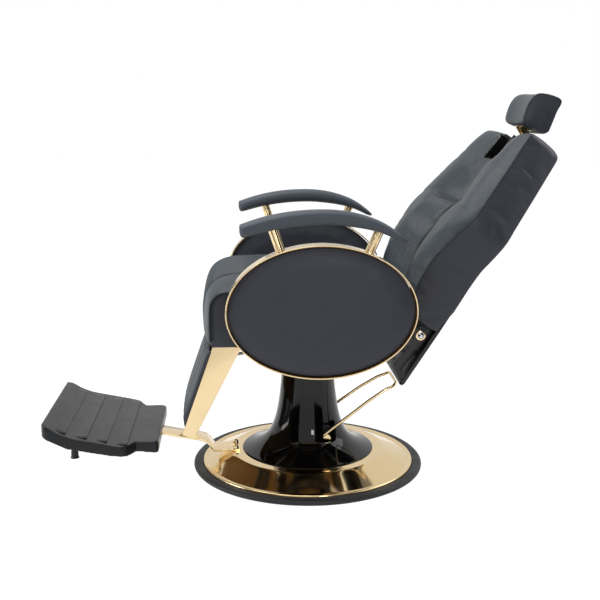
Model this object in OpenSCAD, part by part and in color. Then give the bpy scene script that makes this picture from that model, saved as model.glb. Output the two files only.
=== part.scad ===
// Hydraulic barber chair with a reclining back, oval side panels and a fixed footplate.
// Origin: centre of the base, on the floor. -Y is the sitter's front, +X the sitter's left, +Z up.
// Drawn with the seat at its lowest, the back half reclined and the pedal up.

/* [Base] */
// Diameter of the base over its rubber rim
base_d = 680; // [670:5:700]
// Width of the rubber rim
rim_w = 28; // [26:1:32]
// Height of the rubber rim
rim_h = 15; // [14:1:18]
// Height of the flat top of the gold dish
dish_h = 49; // [47:1:52]

/* [Column] */
// Height of the top of the column cover
cover_top = 325; // [315:1:330]
// Radius of the lifting ram
ram_r = 25; // [24:0.5:26]

/* [Pedal] */
// Radius of the pedal's round bar
pedal_r = 4.5; // [4:0.5:6]

/* [Footrest] */
// Width of the footplate
footplate_w = 444; // [420:4:460]
// Width of the flat bar that carries the footplate
bar_w = 70; // [60:2:80]

/* [Seat] */
// Half width of the seat cushion
seat_half_w = 262; // [255:1:266]
// Height of the seat cushion's underside
seat_bottom = 422; // [421:1:424]
// Height of the seat's centre
seat_top = 622; // [610:1:628]

/* [Side panels] */
// Length of the oval side panel
oval_l = 495; // [480:5:500]
// Height of the oval side panel
oval_h = 350; // [340:5:352]
// Outer face of the panel's metal band, from the chair's centre
band_out = 355; // [350:1:358]
// Inner face of the panel's metal band, from the chair's centre
band_in = 305; // [302:1:312]

/* [Back] */
// Angle of the back from upright as drawn
back_angle = 37; // [36:0.5:38]
// Length of the back cushion's top above the hinge
back_top = 604; // [600:1:606]
// Half width of the notch in the top of the back
notch_half_w = 67; // [60:1:70]

/* [Legrest] */
// Angle of the legrest from upright as drawn
leg_angle = 19.6; // [18:0.1:20]

/* [Hidden] */

$fn = 96;
gold = [0.87, 0.74, 0.47];
gloss_black = [0.06, 0.06, 0.07];
rubber_black = [0.16, 0.16, 0.17];
vinyl = [0.23, 0.24, 0.26];
steel = [0.55, 0.56, 0.58];
cast = [0.25, 0.25, 0.26];
ply = [0.72, 0.58, 0.40];

base_r = base_d / 2;
dish_r = base_r - rim_w;
dish_t = 3;
floor_gap = 2;
seat_step = 9;                      // height of the rim's inner step, where the dish rests
flange_top = dish_h - dish_t;
flange_bottom = flange_top - 12;
pump_r = 47;
pump_top = 300;
run_gap = 0.05;                     // radial clearance of a running fit
pedal_y = 48;
pedal_z = 100;
plunger_y = 72;
plunger_r = 6;
ram_bottom = 90;
spigot_r = 20;
spigot_z = 345;
swivel_z = 393;                     // top of the swivel plate, underside of the seat frame
rail = 25;                          // square tube of the seat frame
frame_top = swivel_z + rail;
board_top = frame_top + 15;
rail_x = 170;                       // centre of a side rail
hinge_y = 293;
hinge_z = 435;
hinge_x = 208;                      // inner face of a hinge plate
plate_t = 6;
shaft_y = -266;
shaft_z = 397;
shaft_r = 11;
oval_y = 11;
oval_z = 530;
lug_r = 103;                        // legrest shaft to the link's front pin
crank_s = -60;                      // cross rod of the back frame, along and before the back
crank_f = -12;
crank_pin_r = 5;
eye_r = 8.5;                        // wide eye at each open pivot
leg_half_w = 190;
lever_z = 364;                      // height of the recline lever's shaft

// ---- helpers -------------------------------------------------------------------------------

// Places its children in the back's own frame: Z along the back, -Y its front, X as the chair's.
module at_back() {
    translate([0, hinge_y, hinge_z]) rotate([-back_angle, 0, 0]) children();
}

// Places its children in the legrest's own frame: -Z down along it, -Y its front.
module at_legrest() {
    translate([0, shaft_y, shaft_z]) rotate([-leg_angle, 0, 0]) children();
}

// A point of the back's frame, given along the back (s) and before it (f), as chair [y, z].
function back_point(s, f) = [hinge_y + s * sin(back_angle) - f * cos(back_angle),
    hinge_z + s * cos(back_angle) + f * sin(back_angle)];

// A round bar from point p to point q.
module bar(p, q, r) {
    d = q - p;
    translate(p)
        rotate([0, acos(d[2] / norm(d)), atan2(d[1], d[0])])
            cylinder(h = norm(d), r = r);
}

function unit(v) = v / norm(v);

// A route with each corner rounded over at most d along both of its legs.
function eased(route, d) = concat([route[0]],
    [for (i = [1 : len(route) - 2]) let (p = route[i], a = route[i - 1] - p, b = route[i + 1] - p,
        e = min(d, 0.45 * norm(a), 0.45 * norm(b)), p0 = p + e * unit(a), p1 = p + e * unit(b))
        each [for (t = [0 : 0.25 : 1]) (1 - t) * (1 - t) * p0 + 2 * t * (1 - t) * p + t * t * p1]],
    [route[len(route) - 1]]);

// A round bar bent along a route that lies nearly in the plane with this normal.
module bent_bar(route, r, normal, n) {
    last = len(route) - 1;
    loft([for (i = [0 : last])
        let (t = unit(route[min(i + 1, last)] - route[max(i - 1, 0)]), u = unit(cross(t, normal)),
            v = cross(t, u))
        [for (k = [0 : n - 1]) route[i] + r * (cos(360 * k / n) * u + sin(360 * k / n) * v)]]);
}

// A [y, z] outline given a thickness along X, from x0 to x1.
module plate_x(x0, x1) {
    translate([x0, 0, 0]) rotate([90, 0, 90]) linear_extrude(height = x1 - x0) children();
}

// A cylinder along X from x0 to x1 through [y, z].
module pin_x(x0, x1, y, z, r) {
    translate([x0, y, z]) rotate([0, 90, 0]) cylinder(h = x1 - x0, r = r);
}

// A rectangular tube with its long side along one axis; wall 2 mm.
module tube_x(x0, x1, y, z) {
    translate([x0, y - rail / 2, z]) difference() {
        cube([x1 - x0, rail, rail]);
        translate([-1, 2, 2]) cube([x1 - x0 + 2, rail - 4, rail - 4]);
    }
}

module tube_y(x, y0, y1, z) {
    translate([x - rail / 2, y0, z]) difference() {
        cube([rail, y1 - y0, rail]);
        translate([2, -1, 2]) cube([rail - 4, y1 - y0 + 2, rail - 4]);
    }
}

module rounded_square(w, h, r) {
    square([w - 2 * r, h], center = true);
    square([w, h - 2 * r], center = true);
    for (x = [-1, 1], y = [-1, 1]) translate([x * (w / 2 - r), y * (h / 2 - r)]) circle(r = r);
}

module both_sides() {
    children();
    mirror([1, 0, 0]) children();
}

// Hexagon bolt with its head's underside at the origin and its shank down.
module hex_bolt(shank_r, shank_l, across_flats, head_h) {
    cylinder(h = head_h, r = across_flats / 2 / cos(30), $fn = 6);
    translate([0, 0, -shank_l]) cylinder(h = shank_l + 0.5, r = shank_r);
}

// Closed skin over equal rings of points, with a fan of triangles on each end. Each ring runs
// anticlockwise as seen from the next one.
module loft(rings) {
    n = len(rings[0]);
    m = len(rings);
    mean_first = [for (k = [0 : 2]) mean([for (p = rings[0]) p[k]])];
    mean_last = [for (k = [0 : 2]) mean([for (p = rings[m - 1]) p[k]])];
    points = concat([for (ring = rings, p = ring) p], [mean_first, mean_last]);
    sides = [for (i = [0 : m - 2], j = [0 : n - 1])
        let (a = i * n + j, b = i * n + (j + 1) % n)
        each [[a, b + n, b], [a, a + n, b + n]]];
    first_cap = [for (j = [0 : n - 1]) [m * n, j, (j + 1) % n]];
    last_cap = [for (j = [0 : n - 1])
        [m * n + 1, (m - 1) * n + (j + 1) % n, (m - 1) * n + j]];
    polyhedron(points = points, faces = concat(sides, first_cap, last_cap), convexity = 10);
}

function mean(v) = sum(v, len(v) - 1) / len(v);
function sum(v, i) = i < 0 ? 0 : v[i] + sum(v, i - 1);
function clamp01(t) = min(1, max(0, t));
function smooth(t) = let (c = clamp01(t)) c * c * (3 - 2 * c);
function mix(a, b, t) = a + (b - a) * clamp01(t);

// Value at x on the line through a list of [x, value] pairs in rising x.
function along(list, x, i = 0) = i >= len(list) - 2 || x < list[i + 1][0]
    ? mix(list[i][1], list[i + 1][1], (x - list[i][0]) / (list[i + 1][0] - list[i][0]))
    : along(list, x, i + 1);

// Smooth value at x through the same kind of list.
function along_soft(list, x, i = 0) = i >= len(list) - 2 || x < list[i + 1][0]
    ? let (t = smooth((x - list[i][0]) / (list[i + 1][0] - list[i][0])))
        mix(list[i][1], list[i + 1][1], t)
    : along_soft(list, x, i + 1);

// Rounded rectangle as a ring of [u, v] points, half sizes a and b, corner exponent e.
function squircle(a, b, e, n) = [for (i = [0 : n - 1])
    let (t = 360 * i / n, c = cos(t), s = sin(t), k = pow(pow(abs(c), e) + pow(abs(s), e), -1 / e))
    [a * c * k, b * s * k]];

function ellipse(a, b, n) = [for (i = [0 : n - 1]) [a * cos(360 * i / n), b * sin(360 * i / n)]];

// ---- base ----------------------------------------------------------------------------------

module base_rim() {
    color(rubber_black) rotate_extrude() polygon([
        [dish_r - 16, 0], [base_r - 6, 0], [base_r, 5], [base_r, rim_h - 5],
        [base_r - 5, rim_h], [dish_r + 0.3, rim_h], [dish_r + 0.3, seat_step],
        [dish_r - 16, seat_step]]);
}

module base_dish() {
    lip_h = rim_h + 4;
    flat_r = 222;
    color(gold) difference() {
        rotate_extrude() polygon([
            [dish_r, seat_step], [dish_r, lip_h - 2], [dish_r - 3, lip_h], [dish_r - 9, lip_h],
            [dish_r - 14, lip_h - 2], [flat_r + 6, dish_h - 2], [flat_r, dish_h], [62, dish_h],
            [62, flange_top], [flat_r - 1, flange_top], [flat_r + 5, flange_top - 2],
            [dish_r - 14, lip_h - 5], [dish_r - 9, lip_h - 3], [dish_r - 4, lip_h - 3],
            [dish_r - 3, seat_step]]);
        pump_bolt_places() translate([0, 0, -1]) cylinder(h = dish_h + 10, r = 6.5);
        bar_bolt_places() translate([0, 0, 20]) cylinder(h = 40, r = 5.3);
        // clearance for the pump's ears
        translate([-36, 10, flange_top - 1]) cube([72, 77, 10]);
    }
}

module pump_bolt_places() {
    for (a = [45 : 90 : 315]) rotate([0, 0, a]) translate([78, 0, 0]) children();
}

module ballast_plate() {
    color(cast) difference() {
        union() {
            translate([0, 0, floor_gap]) cylinder(h = 7, r = dish_r - 16);
            translate([0, 0, floor_gap]) cylinder(h = flange_bottom - floor_gap, r = 112);
            cylinder(h = floor_gap + 1, r = 60);
        }
        pump_bolt_places() translate([0, 0, 10]) cylinder(h = 60, r = 6 + run_gap);
    }
}

module pump_body() {
    ear_x = 12;
    color(cast) difference() {
        union() {
            translate([0, 0, flange_bottom]) cylinder(h = 12, r = 61.5);
            translate([0, 0, flange_bottom]) cylinder(h = 12, r = 95);
            translate([0, 0, flange_bottom]) cylinder(h = pump_top - flange_bottom, r = pump_r);
            translate([-ear_x - 23, 30, flange_top]) cube([2 * ear_x + 46, 34, 70]);
            translate([-15, 40, flange_top]) cube([30, 46, 38]);
        }
        translate([0, 0, ram_bottom - 5]) cylinder(h = 300, r = ram_r + run_gap);
        pin_x(-60, 60, pedal_y, pedal_z, 8 + run_gap);
        translate([-ear_x, pedal_y - 10, flange_top + 38]) cube([2 * ear_x, 60, 60]);
        translate([0, plunger_y, flange_top + 4]) cylinder(h = 60, r = plunger_r + run_gap);
        pump_bolt_places() translate([0, 0, 10]) cylinder(h = 60, r = 6.5);
    }
}

module pump_bolts() {
    color(steel) pump_bolt_places() translate([0, 0, dish_h]) hex_bolt(6, 30, 19, 8);
}

// Radius of the column cover at height z: a long taper and a quick flare at the foot.
function cover_radius(z) = 70 + 30 * exp((126 - z) / 110) + 63 * exp((52 - z) / 22);
function cover_slope(z) = -30 / 110 * exp((126 - z) / 110) - 63 / 22 * exp((52 - z) / 22);
function cover_heights() = [for (i = [0 : 26]) let (t = i / 26) 52 + (cover_top - 52) * pow(t, 1.7)];
function cover_inner(z) = let (n = sqrt(1 + pow(cover_slope(z), 2)))
    [cover_radius(z) - 3 / n, z + 3 * cover_slope(z) / n];

module column_cover() {
    z_list = cover_heights();
    outer = [for (z = z_list) [cover_radius(z), z]];
    inner = [for (i = [len(z_list) - 1 : -1 : 0]) cover_inner(z_list[i])];
    color(gloss_black) difference() {
        rotate_extrude() polygon(concat([[cover_radius(52) + 1, dish_h]], outer,
            [[cover_radius(cover_top) - 3, cover_top]], [for (p = inner) if (p[1] < cover_top) p],
            [[cover_radius(52) - 2, dish_h]]));
        for (x = [-125, 60]) translate([x, 14, 84]) cube([65, 60, 68]);
    }
}

module cover_collar() {
    r = cover_radius(cover_top);
    color(gloss_black) rotate_extrude() polygon([
        [28, cover_top], [r + 3, cover_top], [r + 3, cover_top + 5], [r, cover_top + 8],
        [28, cover_top + 8]]);
}

module ram_seal() {
    color(rubber_black) difference() {
        translate([0, 0, pump_top]) cylinder(h = 7, r = 40);
        translate([0, 0, pump_top - 1]) cylinder(h = 9, r = ram_r + run_gap);
    }
}

// ---- footrest ------------------------------------------------------------------------------

module bar_bolt_places() {
    for (x = [-24, 24]) translate([x, -215, 0]) children();
}

footplate_bolt_y = [-480, -580];
bar_t = 6;

// Height of the bar's underside under the footplate.
function bar_z(y) = 106 + (-436 - y) * 0.185;

module footrest_bar() {
    end_y = -620;
    color(gold) difference() {
        plate_x(-bar_w / 2, bar_w / 2) polygon([
            [-203, dish_h + bar_t], [-278, dish_h + bar_t], [-290, 73], [-301, 84], [-323, 90.5],
            [-374, 99], [-436, bar_z(-436) + bar_t], [end_y, bar_z(end_y) + bar_t],
            [end_y, bar_z(end_y)], [-436, bar_z(-436)], [-374, 93], [-325, 84.3], [-305, 78.5],
            [-295.5, 70], [-281.5, dish_h], [-203, dish_h]]);
        bar_bolt_places() cylinder(h = 90, r = 5.3);
        for (x = [-22, 22], y = footplate_bolt_y) translate([x, y, 60]) cylinder(h = 120, r = 4.3);
    }
}

module bar_bolts() {
    color(gold) bar_bolt_places() translate([0, 0, dish_h + bar_t]) {
        cylinder(h = 6, r = 8);
        translate([0, 0, 5]) sphere(r = 6.6);
        translate([0, 0, -14]) cylinder(h = 15, r = 5);
    }
}

module footplate_plan() {
    translate([0, -623.5]) rounded_square(footplate_w, 239, 24);
    translate([0, -487]) rounded_square(344, 114, 14);
}

module footplate_profile(drop) {
    polygon([[-400, 131 - drop], [-505, 133.5 - drop], [-600, 151 - drop], [-668, 166 - drop],
        [-700, 179 - drop], [-725, 196 - drop], [-746, 206 - drop],
        [-746, 60], [-400, 60]]);
}

module footplate_under() {
    polygon([[-760, 171], [-734, 161], [-672, 132], [-516, 102], [-400, 97], [-400, 40],
        [-760, 40]]);
}

module footplate() {
    skin = 5;
    groove_y = [-679, -617, -556, -493];
    color(rubber_black) difference() {
        intersection() {
            translate([0, 0, 40]) linear_extrude(height = 200) footplate_plan();
            plate_x(-300, 300) footplate_profile(0);
        }
        plate_x(-300, 300) footplate_under();
        difference() {
            intersection() {
                plate_x(-300, 300) footplate_profile(skin);
                translate([0, 0, 20]) linear_extrude(height = 200) {
                    translate([0, -623.5]) rounded_square(footplate_w - 12, 227, 18);
                    translate([0, -497]) rounded_square(332, 122, 10);
                }
            }
            for (x = [-150, -75, 75, 150]) translate([x - 2, -760, 40]) cube([4, 330, 200]);
            for (y = [-690, -650, -530]) translate([-230, y - 2, 40]) cube([460, 4, 200]);
            footplate_bosses();
        }
        for (y = groove_y) translate([-205, y, along(tread_heights, y) - 2.5]) cube([410, 3, 20]);
        translate([-bar_w / 2 - 1, -624, 0]) plate_x(0, bar_w + 2) polygon([
            [0, bar_z(-624) - 0.2], [230, bar_z(-394) - 0.2], [230, bar_z(-394) + bar_t],
            [0, bar_z(-624) + bar_t]]);
        for (x = [-22, 22], y = footplate_bolt_y) {
            translate([x, y, 60]) cylinder(h = bar_z(y) + 12 - 60, r = 4 + run_gap);
        }
        translate([0, -692, 100]) cylinder(h = 65, r = 6 + run_gap);
    }
}

tread_heights = [[-725, 196], [-700, 179], [-668, 166], [-600, 151], [-505, 133.5], [-400, 131]];

module footplate_bosses() {
    for (x = [-22, 22], y = footplate_bolt_y) translate([x, y, bar_z(y) + bar_t]) {
        cylinder(h = 60, r = 11);
    }
    translate([0, -692, 120]) cylinder(h = 80, r = 14);
}

module footplate_bolts() {
    color(steel) for (x = [-22, 22], y = footplate_bolt_y) {
        translate([x, y, bar_z(y) - 1]) rotate([180, 0, 0]) hex_bolt(4, 12, 13, 5);
    }
}

module stop_stud() {
    color(steel) translate([0, -692, 40]) {
        cylinder(h = 118, r = 6);
        translate([0, 0, 62]) cylinder(h = 7, r = 11, $fn = 6);
    }
}

module stop_foot() {
    color(rubber_black) translate([0, -692, 0]) difference() {
        rotate_extrude() polygon([[0, 27], [12.5, 27], [13, 29], [11, 33], [10.5, 50], [0, 50]]);
        translate([0, 0, 40]) cylinder(h = 20, r = 6);
    }
}

// ---- pedal and pump inner parts --------------------------------------------------------------

// Route of one half of the pedal loop, from its cheek to the corner of its end bar.
pedal_route = [[87, 24, 99], [92, 43, 114], [88, 93, 152], [80, 168, 207], [72, 222, 241],
    [69, 243, 248], [62, 254, 257]];
pedal_loop = concat(pedal_route,
    [for (i = [len(pedal_route) - 1 : -1 : 0]) let (p = pedal_route[i]) [-p[0], p[1], p[2]]]);

module pedal() {
    color(gold) {
        bent_bar(eased(pedal_loop, 15), pedal_r, [0, -0.65, 0.76], 14);
        both_sides() {
            plate_x(82, 88) hull() {
                translate([pedal_y, pedal_z]) circle(r = 13);
                translate([26, 99]) circle(r = 8);
            }
        }
        pin_x(-88, 88, pedal_y, pedal_z, 8);
        plate_x(-6, 6) hull() {
            translate([pedal_y, pedal_z]) circle(r = 9);
            translate([plunger_y, pedal_z]) circle(r = 5);
        }
    }
}

module pump_plunger() {
    color(steel) translate([0, plunger_y, 60]) cylinder(h = 33.2, r = plunger_r);
}

module ram() {
    color(steel) {
        translate([0, 0, ram_bottom]) cylinder(h = spigot_z - ram_bottom, r = ram_r);
        translate([0, 0, spigot_z - 1]) cylinder(h = 40, r = spigot_r);
    }
}

module thrust_bearing() {
    color(steel) difference() {
        translate([0, 0, spigot_z]) cylinder(h = 7, r = 34);
        translate([0, 0, spigot_z - 1]) cylinder(h = 9, r = spigot_r);
    }
}

// ---- seat ------------------------------------------------------------------------------------

module swivel_bolt_places() {
    for (x = [-62, 62], y = [-70, 70]) translate([x, y, 0]) children();
}

module swivel_plate() {
    color(cast) difference() {
        union() {
            translate([0, 0, spigot_z + 7.05]) cylinder(h = 34, r = 40);
            translate([-85, -85, swivel_z - 8]) cube([170, 170, 8]);
        }
        translate([0, 0, spigot_z]) cylinder(h = 39.5, r = spigot_r + run_gap);
        swivel_bolt_places() translate([0, 0, swivel_z - 20]) cylinder(h = 30, r = 5.2);
    }
}

module swivel_bolts() {
    color(steel) swivel_bolt_places() {
        translate([0, 0, swivel_z - 8]) rotate([180, 0, 0]) hex_bolt(5, 20, 17, 6.5);
    }
}

outrigger_y = [-110, 118];

module seat_frame() {
    color(cast) difference() {
        union() {
            for (x = [-rail_x, rail_x]) tube_y(x, -245, 165, swivel_z);
            for (y = [-232, -140, -70, 70, 152]) {
                tube_x(-rail_x + rail / 2, rail_x - rail / 2, y, swivel_z);
            }
            both_sides() for (y = outrigger_y) tube_x(rail_x + rail / 2, band_in, y, swivel_z);
            // lugs of the gas strut
            for (x = [103, 121]) translate([x - 3, -150, 336]) cube([6, 30, swivel_z - 336]);
            pin_x(100, 130, -135, 350, 5);
            // hangers of the recline lever's shaft
            for (x = [-164, 60]) translate([x - 4, -172, 352]) cube([8, 44, swivel_z - 352]);
        }
        for (x = [-164, 60]) pin_x(x - 9, x + 9, -160, lever_z, 5 + run_gap);
        swivel_bolt_places() translate([0, 0, swivel_z - 1]) cylinder(h = 14, r = 5.2);
    }
}

module seat_board() {
    color(ply) translate([-245, -272, frame_top]) cube([490, 456, board_top - frame_top]);
}

// Shape of the seat across its width: 1 in the middle, 0 at the side wall.
function seat_swell(x) = pow(1 - pow(abs(x) / seat_half_w, 3), 0.7);
function seat_channel(x) = abs(x) < 150 ? 3.5 * pow(abs(sin(180 * x / 37.5)), 0.5) - 3.5 : 0;

// One lengthwise section of the seat as [y, z] points, running over the top and back below.
function seat_section(x) = let (k = seat_swell(x), top = mix(574, seat_top, k) + seat_channel(x),
    front = mix(-280, -303, k), rear = 194)
    [[rear - 12, seat_bottom], [rear, seat_bottom + 14], [rear, top - 62], [rear - 8, top - 34],
    [rear - 36, top - 20], [110, top - 13], [20, top - 5], [-90, top - 1], [-175, top],
    [-222, top - 3], [-246, top - 12], [front + 26, top - 30], [front + 12, top - 56],
    [front + 4, top - 92], [front, top - 130], [front + 1, mix(top - 130, seat_bottom, 0.55)],
    [front + 5, seat_bottom + 14], [front + 16, seat_bottom + 2], [front + 30, seat_bottom]];

module seat_cushion() {
    channel = 18.75;
    xs = concat([-seat_half_w, -seat_half_w + 3, -seat_half_w + 10, -236, -206, -172],
        [for (i = [-8 : 8]) i * channel], [172, 206, 236, seat_half_w - 10, seat_half_w - 3,
        seat_half_w]);
    inset = [for (x = xs) seat_half_w - abs(x)];
    color(vinyl) difference() {
        loft([for (i = [0 : len(xs) - 1]) let (pull = inset[i] < 1 ? 8 : inset[i] < 4 ? 3 : 0)
            [for (p = seat_section(xs[i]))
                let (z = mix(p[1], 498, pull / 90), y = mix(p[0], -40, pull / 260),
                    wave = abs(xs[i]) < 151 ? 5 * sin(p[0] * 4.2) : 0)
                [xs[i] + wave, y, z]]]);
        translate([-245, -272, seat_bottom - 10]) cube([490, 456, board_top - seat_bottom + 10]);
    }
}

// ---- side panels and arms -----------------------------------------------------------------

module oval(a, b) {
    translate([oval_y, oval_z]) polygon(ellipse(a, b, 96));
}

module panel_band() {
    color(gold) plate_x(band_in, band_out) difference() {
        oval(oval_l / 2, oval_h / 2);
        oval(oval_l / 2 - 6, oval_h / 2 - 6);
    }
}

module panel_board() {
    color(ply) difference() {
        plate_x(band_in + 18, band_in + 33) oval(oval_l / 2 - 6, oval_h / 2 - 6);
        panel_bolt_places() cylinder(h = 60, r = 4 + run_gap);
    }
}

// A crowned oval pad, its flat back at x0 and its middle at x1.
module oval_pad(x0, x1, a, b) {
    steps = [[0, 1], [0.45, 1], [0.72, 0.985], [0.86, 0.94], [0.94, 0.8], [0.985, 0.5], [1, 0.15]];
    turn = sign(x1 - x0);
    loft([for (s = steps) [for (p = ellipse(a * s[1], b * s[1], 40))
        [x0 + (x1 - x0) * s[0], oval_y + turn * p[0], oval_z + p[1]]]]);
}

module panel_pad() {
    color(vinyl) oval_pad(band_in + 33, band_out + 4, oval_l / 2 - 6.3, oval_h / 2 - 6.3);
}

module panel_lining() {
    color(vinyl) difference() {
        oval_pad(band_in + 18, band_in - 2, oval_l / 2 - 6.3, oval_h / 2 - 6.3);
        for (y = outrigger_y) translate([band_in - 20, y - 13, swivel_z - 0.5]) cube([40, 26, 26]);
    }
}

module panel_bolt_places() {
    for (y = outrigger_y) translate([band_in - 12, y, swivel_z + rail / 2]) rotate([0, 90, 0]) {
        children();
    }
}

module panel_bolts() {
    color(steel) both_sides() for (y = outrigger_y) {
        pin_x(band_in + 10, band_in + 33, y, swivel_z + rail / 2, 4);
        pin_x(band_in, band_in + 18, y, swivel_z + rail / 2, 9);
    }
}

// Foot and head of the front and the rear arm post.
post_lines = [[[330, -90, 675], [323, -117, 754]], [[330, 127, 669], [323, 163, 747]]];
post_r = 12.5;

module arm_posts() {
    color(gold) difference() {
        for (p = post_lines) bar(p[0], p[1], post_r);
        plate_x(band_in - 10, band_out + 10) oval(oval_l / 2, oval_h / 2);
    }
}

// Height of the armrest's top line, its thickness and its half width at y.
function arm_top(y) = let (d = (y - 12) / 200) 792 - (y < 12 ? 34 : 57) * pow(abs(d), 2.15);
function arm_depth(y) = along([[-196, 22], [-180, 31], [-60, 39], [60, 39], [150, 31], [205, 18],
    [228, 7]], y);
function arm_half(y) = along([[-196, 22], [-186, 29], [-150, 32], [190, 31], [215, 26], [228, 14]], y);

module arm_body() {
    ys = [-196, -193, -186, -170, -140, -100, -60, -20, 20, 60, 100, 135, 165, 190, 208, 220, 228];
    loft([for (y = ys) let (h = arm_depth(y) / 2)
        [for (p = squircle(arm_half(y), h, 2.6, 24))
            [321 + p[0], y, arm_top(y) - h - p[1]]]]);
}

module armrest() {
    color(vinyl) difference() {
        arm_body();
        for (p = post_lines) bar(p[0], p[1] + 0.4 * unit(p[1] - p[0]), post_r + 0.1);
    }
}

module left_panel_band() { panel_band(); }
module right_panel_band() { mirror([1, 0, 0]) panel_band(); }
module left_panel_board() { panel_board(); }
module right_panel_board() { mirror([1, 0, 0]) panel_board(); }
module left_panel_pad() { panel_pad(); }
module right_panel_pad() { mirror([1, 0, 0]) panel_pad(); }
module left_panel_lining() { panel_lining(); }
module right_panel_lining() { mirror([1, 0, 0]) panel_lining(); }
module left_arm_posts() { arm_posts(); }
module right_arm_posts() { mirror([1, 0, 0]) arm_posts(); }
module left_armrest() { armrest(); }
module right_armrest() { mirror([1, 0, 0]) armrest(); }

// ---- hinges and lever -----------------------------------------------------------------------

module hinge_plates() {
    plate_front = outrigger_y[1] + rail / 2;
    color(gold) both_sides() difference() {
        plate_x(hinge_x, hinge_x + plate_t) {
            polygon([[plate_front, frame_top - 1], [192, frame_top - 1], [262, 452], [293, 452],
                [306, 424], [262, 404], [192, swivel_z + 1], [plate_front, swivel_z + 1]]);
            translate([hinge_y, hinge_z]) circle(r = 18);
        }
        pin_x(hinge_x - 1, hinge_x + 8, hinge_y, hinge_z, 8 + run_gap);
    }
}

module hinge_bolts() {
    color([0.85, 0.85, 0.87]) both_sides() {
        pin_x(196, hinge_x + plate_t, hinge_y, hinge_z, 8);
        pin_x(hinge_x + plate_t, hinge_x + plate_t + 4, hinge_y, hinge_z, 9.5);
        intersection() {
            translate([hinge_x + plate_t + 4, hinge_y, hinge_z]) sphere(r = 8.5);
            pin_x(hinge_x + plate_t, hinge_x + plate_t + 14, hinge_y, hinge_z, 9);
        }
    }
}

module legrest_bearings() {
    color(cast) both_sides() difference() {
        union() {
            plate_x(151, 157.5) {
                translate([-258, swivel_z - 6]) square([13.5, rail + 6]);
                translate([-258, swivel_z - 6]) square([40, 6]);
                translate([shaft_y, shaft_z]) circle(r = 19);
            }
        }
        pin_x(148, 160, shaft_y, shaft_z, shaft_r + run_gap);
    }
}

module recline_lever() {
    color(steel) {
        pin_x(-262, 84, -160, lever_z, 5);
        plate_x(-262, -256) hull() {
            translate([-160, lever_z]) circle(r = 11);
            translate([-70, lever_z - 8]) circle(r = 8);
        }
        plate_x(78, 84) hull() {
            translate([-160, lever_z]) circle(r = 8);
            translate([-158, lever_z - 18]) circle(r = 5);
        }
    }
}

module lever_grip() {
    color(rubber_black) difference() {
        plate_x(-268, -250) hull() {
            translate([-88, lever_z - 6.5]) circle(r = 11);
            translate([-20, lever_z - 13]) circle(r = 10);
        }
        plate_x(-262, -256) hull() {
            translate([-160, lever_z]) circle(r = 11);
            translate([-70, lever_z - 8]) circle(r = 8);
        }
    }
}

// ---- back ------------------------------------------------------------------------------------

// Lines along the back, each a list of [place along the back, value].
back_half_w = [[36, 248], [89, 256], [200, 288], [290, 322], [322, 327], [380, 306], [480, 268],
    [580, 228], [600, 220], [606, 208]];
back_seam = [[36, 40], [60, 80], [89, 99], [136, 113], [200, 122], [270, 120], [340, 111],
    [480, 105], [600, 101], [606, 92]];
back_rear = [[36, -20], [104, -22], [177, -9], [250, 0], [606, 0]];
back_crown = [[36, 3], [89, 20], [250, 24], [330, 26], [349, 22], [368, 26], [480, 24],
    [590, 13], [606, 2]];
panel_crown = [[36, 3], [89, 17], [200, 22], [300, 24], [334, 21], [349, 6], [368, 11], [480, 8],
    [590, 5], [606, 0]];
panel_half_w = [[36, 165], [150, 158], [340, 136], [360, 130], [508, 76], [606, 72]];

function back_ring(s, w_scale, f_pull) = let (w = along(back_half_w, s) * w_scale,
    seam = along(back_seam, s) - f_pull, rear = along(back_rear, s) + f_pull,
    crown = along(back_crown, s) * w_scale, mid = along(panel_crown, s), n = 8,
    pitch = along(panel_half_w, s) / n)
    concat(
        [[-w + 10, rear], [-w + 1, rear + 7], [-w, mix(rear, seam, 0.5)], [-w + 1, seam - 12],
        [-w + 5, seam - 2], [-w + 15, seam + 0.6 * crown], [-w + 38, seam + 0.95 * crown]],
        [for (i = [-n : n]) [i * pitch + 4 * sin(s * 4),
            seam + mid + (i % 2 == 0 ? -2.6 : 0) - (abs(i) == n ? 1 : 0)]],
        [[w - 38, seam + 0.95 * crown], [w - 15, seam + 0.6 * crown], [w - 5, seam - 2],
        [w - 1, seam - 12], [w, mix(rear, seam, 0.5)], [w - 1, rear + 7], [w - 10, rear]]);

module back_cushion() {
    stations = [36, 44, 60, 89, 104, 136, 177, 210, 250, 295, 322, 341, 349, 357, 380, 420, 470,
        520, 560, 590, 600, 606];
    guide_s = 396;
    color(vinyl) at_back() difference() {
        loft([for (s = stations)
            let (pull = s < 40 || s > 603 ? 8 : s < 50 || s > 597 ? 3 : 0)
            [for (p = back_ring(s, 1 - pull / 400, pull)) [p[0], -p[1], s]]]);
        translate([-notch_half_w, -200, 508]) cube([2 * notch_half_w, 300, 200]);
        frame_recess();
    }
}

// Lengthwise line of the back frame's front face, as [y, z] in the back's frame.
rail_front = [[-2, -112], [-2, 30], [8, 104], [-5, 177], [-14, 250], [-14, 540]];

// One wide recess in the cushion's rear for the back frame.
module frame_recess() {
    plate_x(-207, 207) polygon(concat([for (p = rail_front) [p[0] - 0.4, p[1]]],
        [[-14.4, 545], [30, 545], [30, -112]]));
}

// Bent side rail of the back frame, from x0 to x1.
module frame_rail(x0, x1) {
    plate_x(x0, x1) polygon(concat(rail_front, [[0, 540], [0, 250], [9, 177], [22, 104], [22, -112]]));
}

module frame_bridges() {
    for (s = [270, 440]) translate([-190, -12, s]) cube([380, 12, 26]);
}

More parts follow.
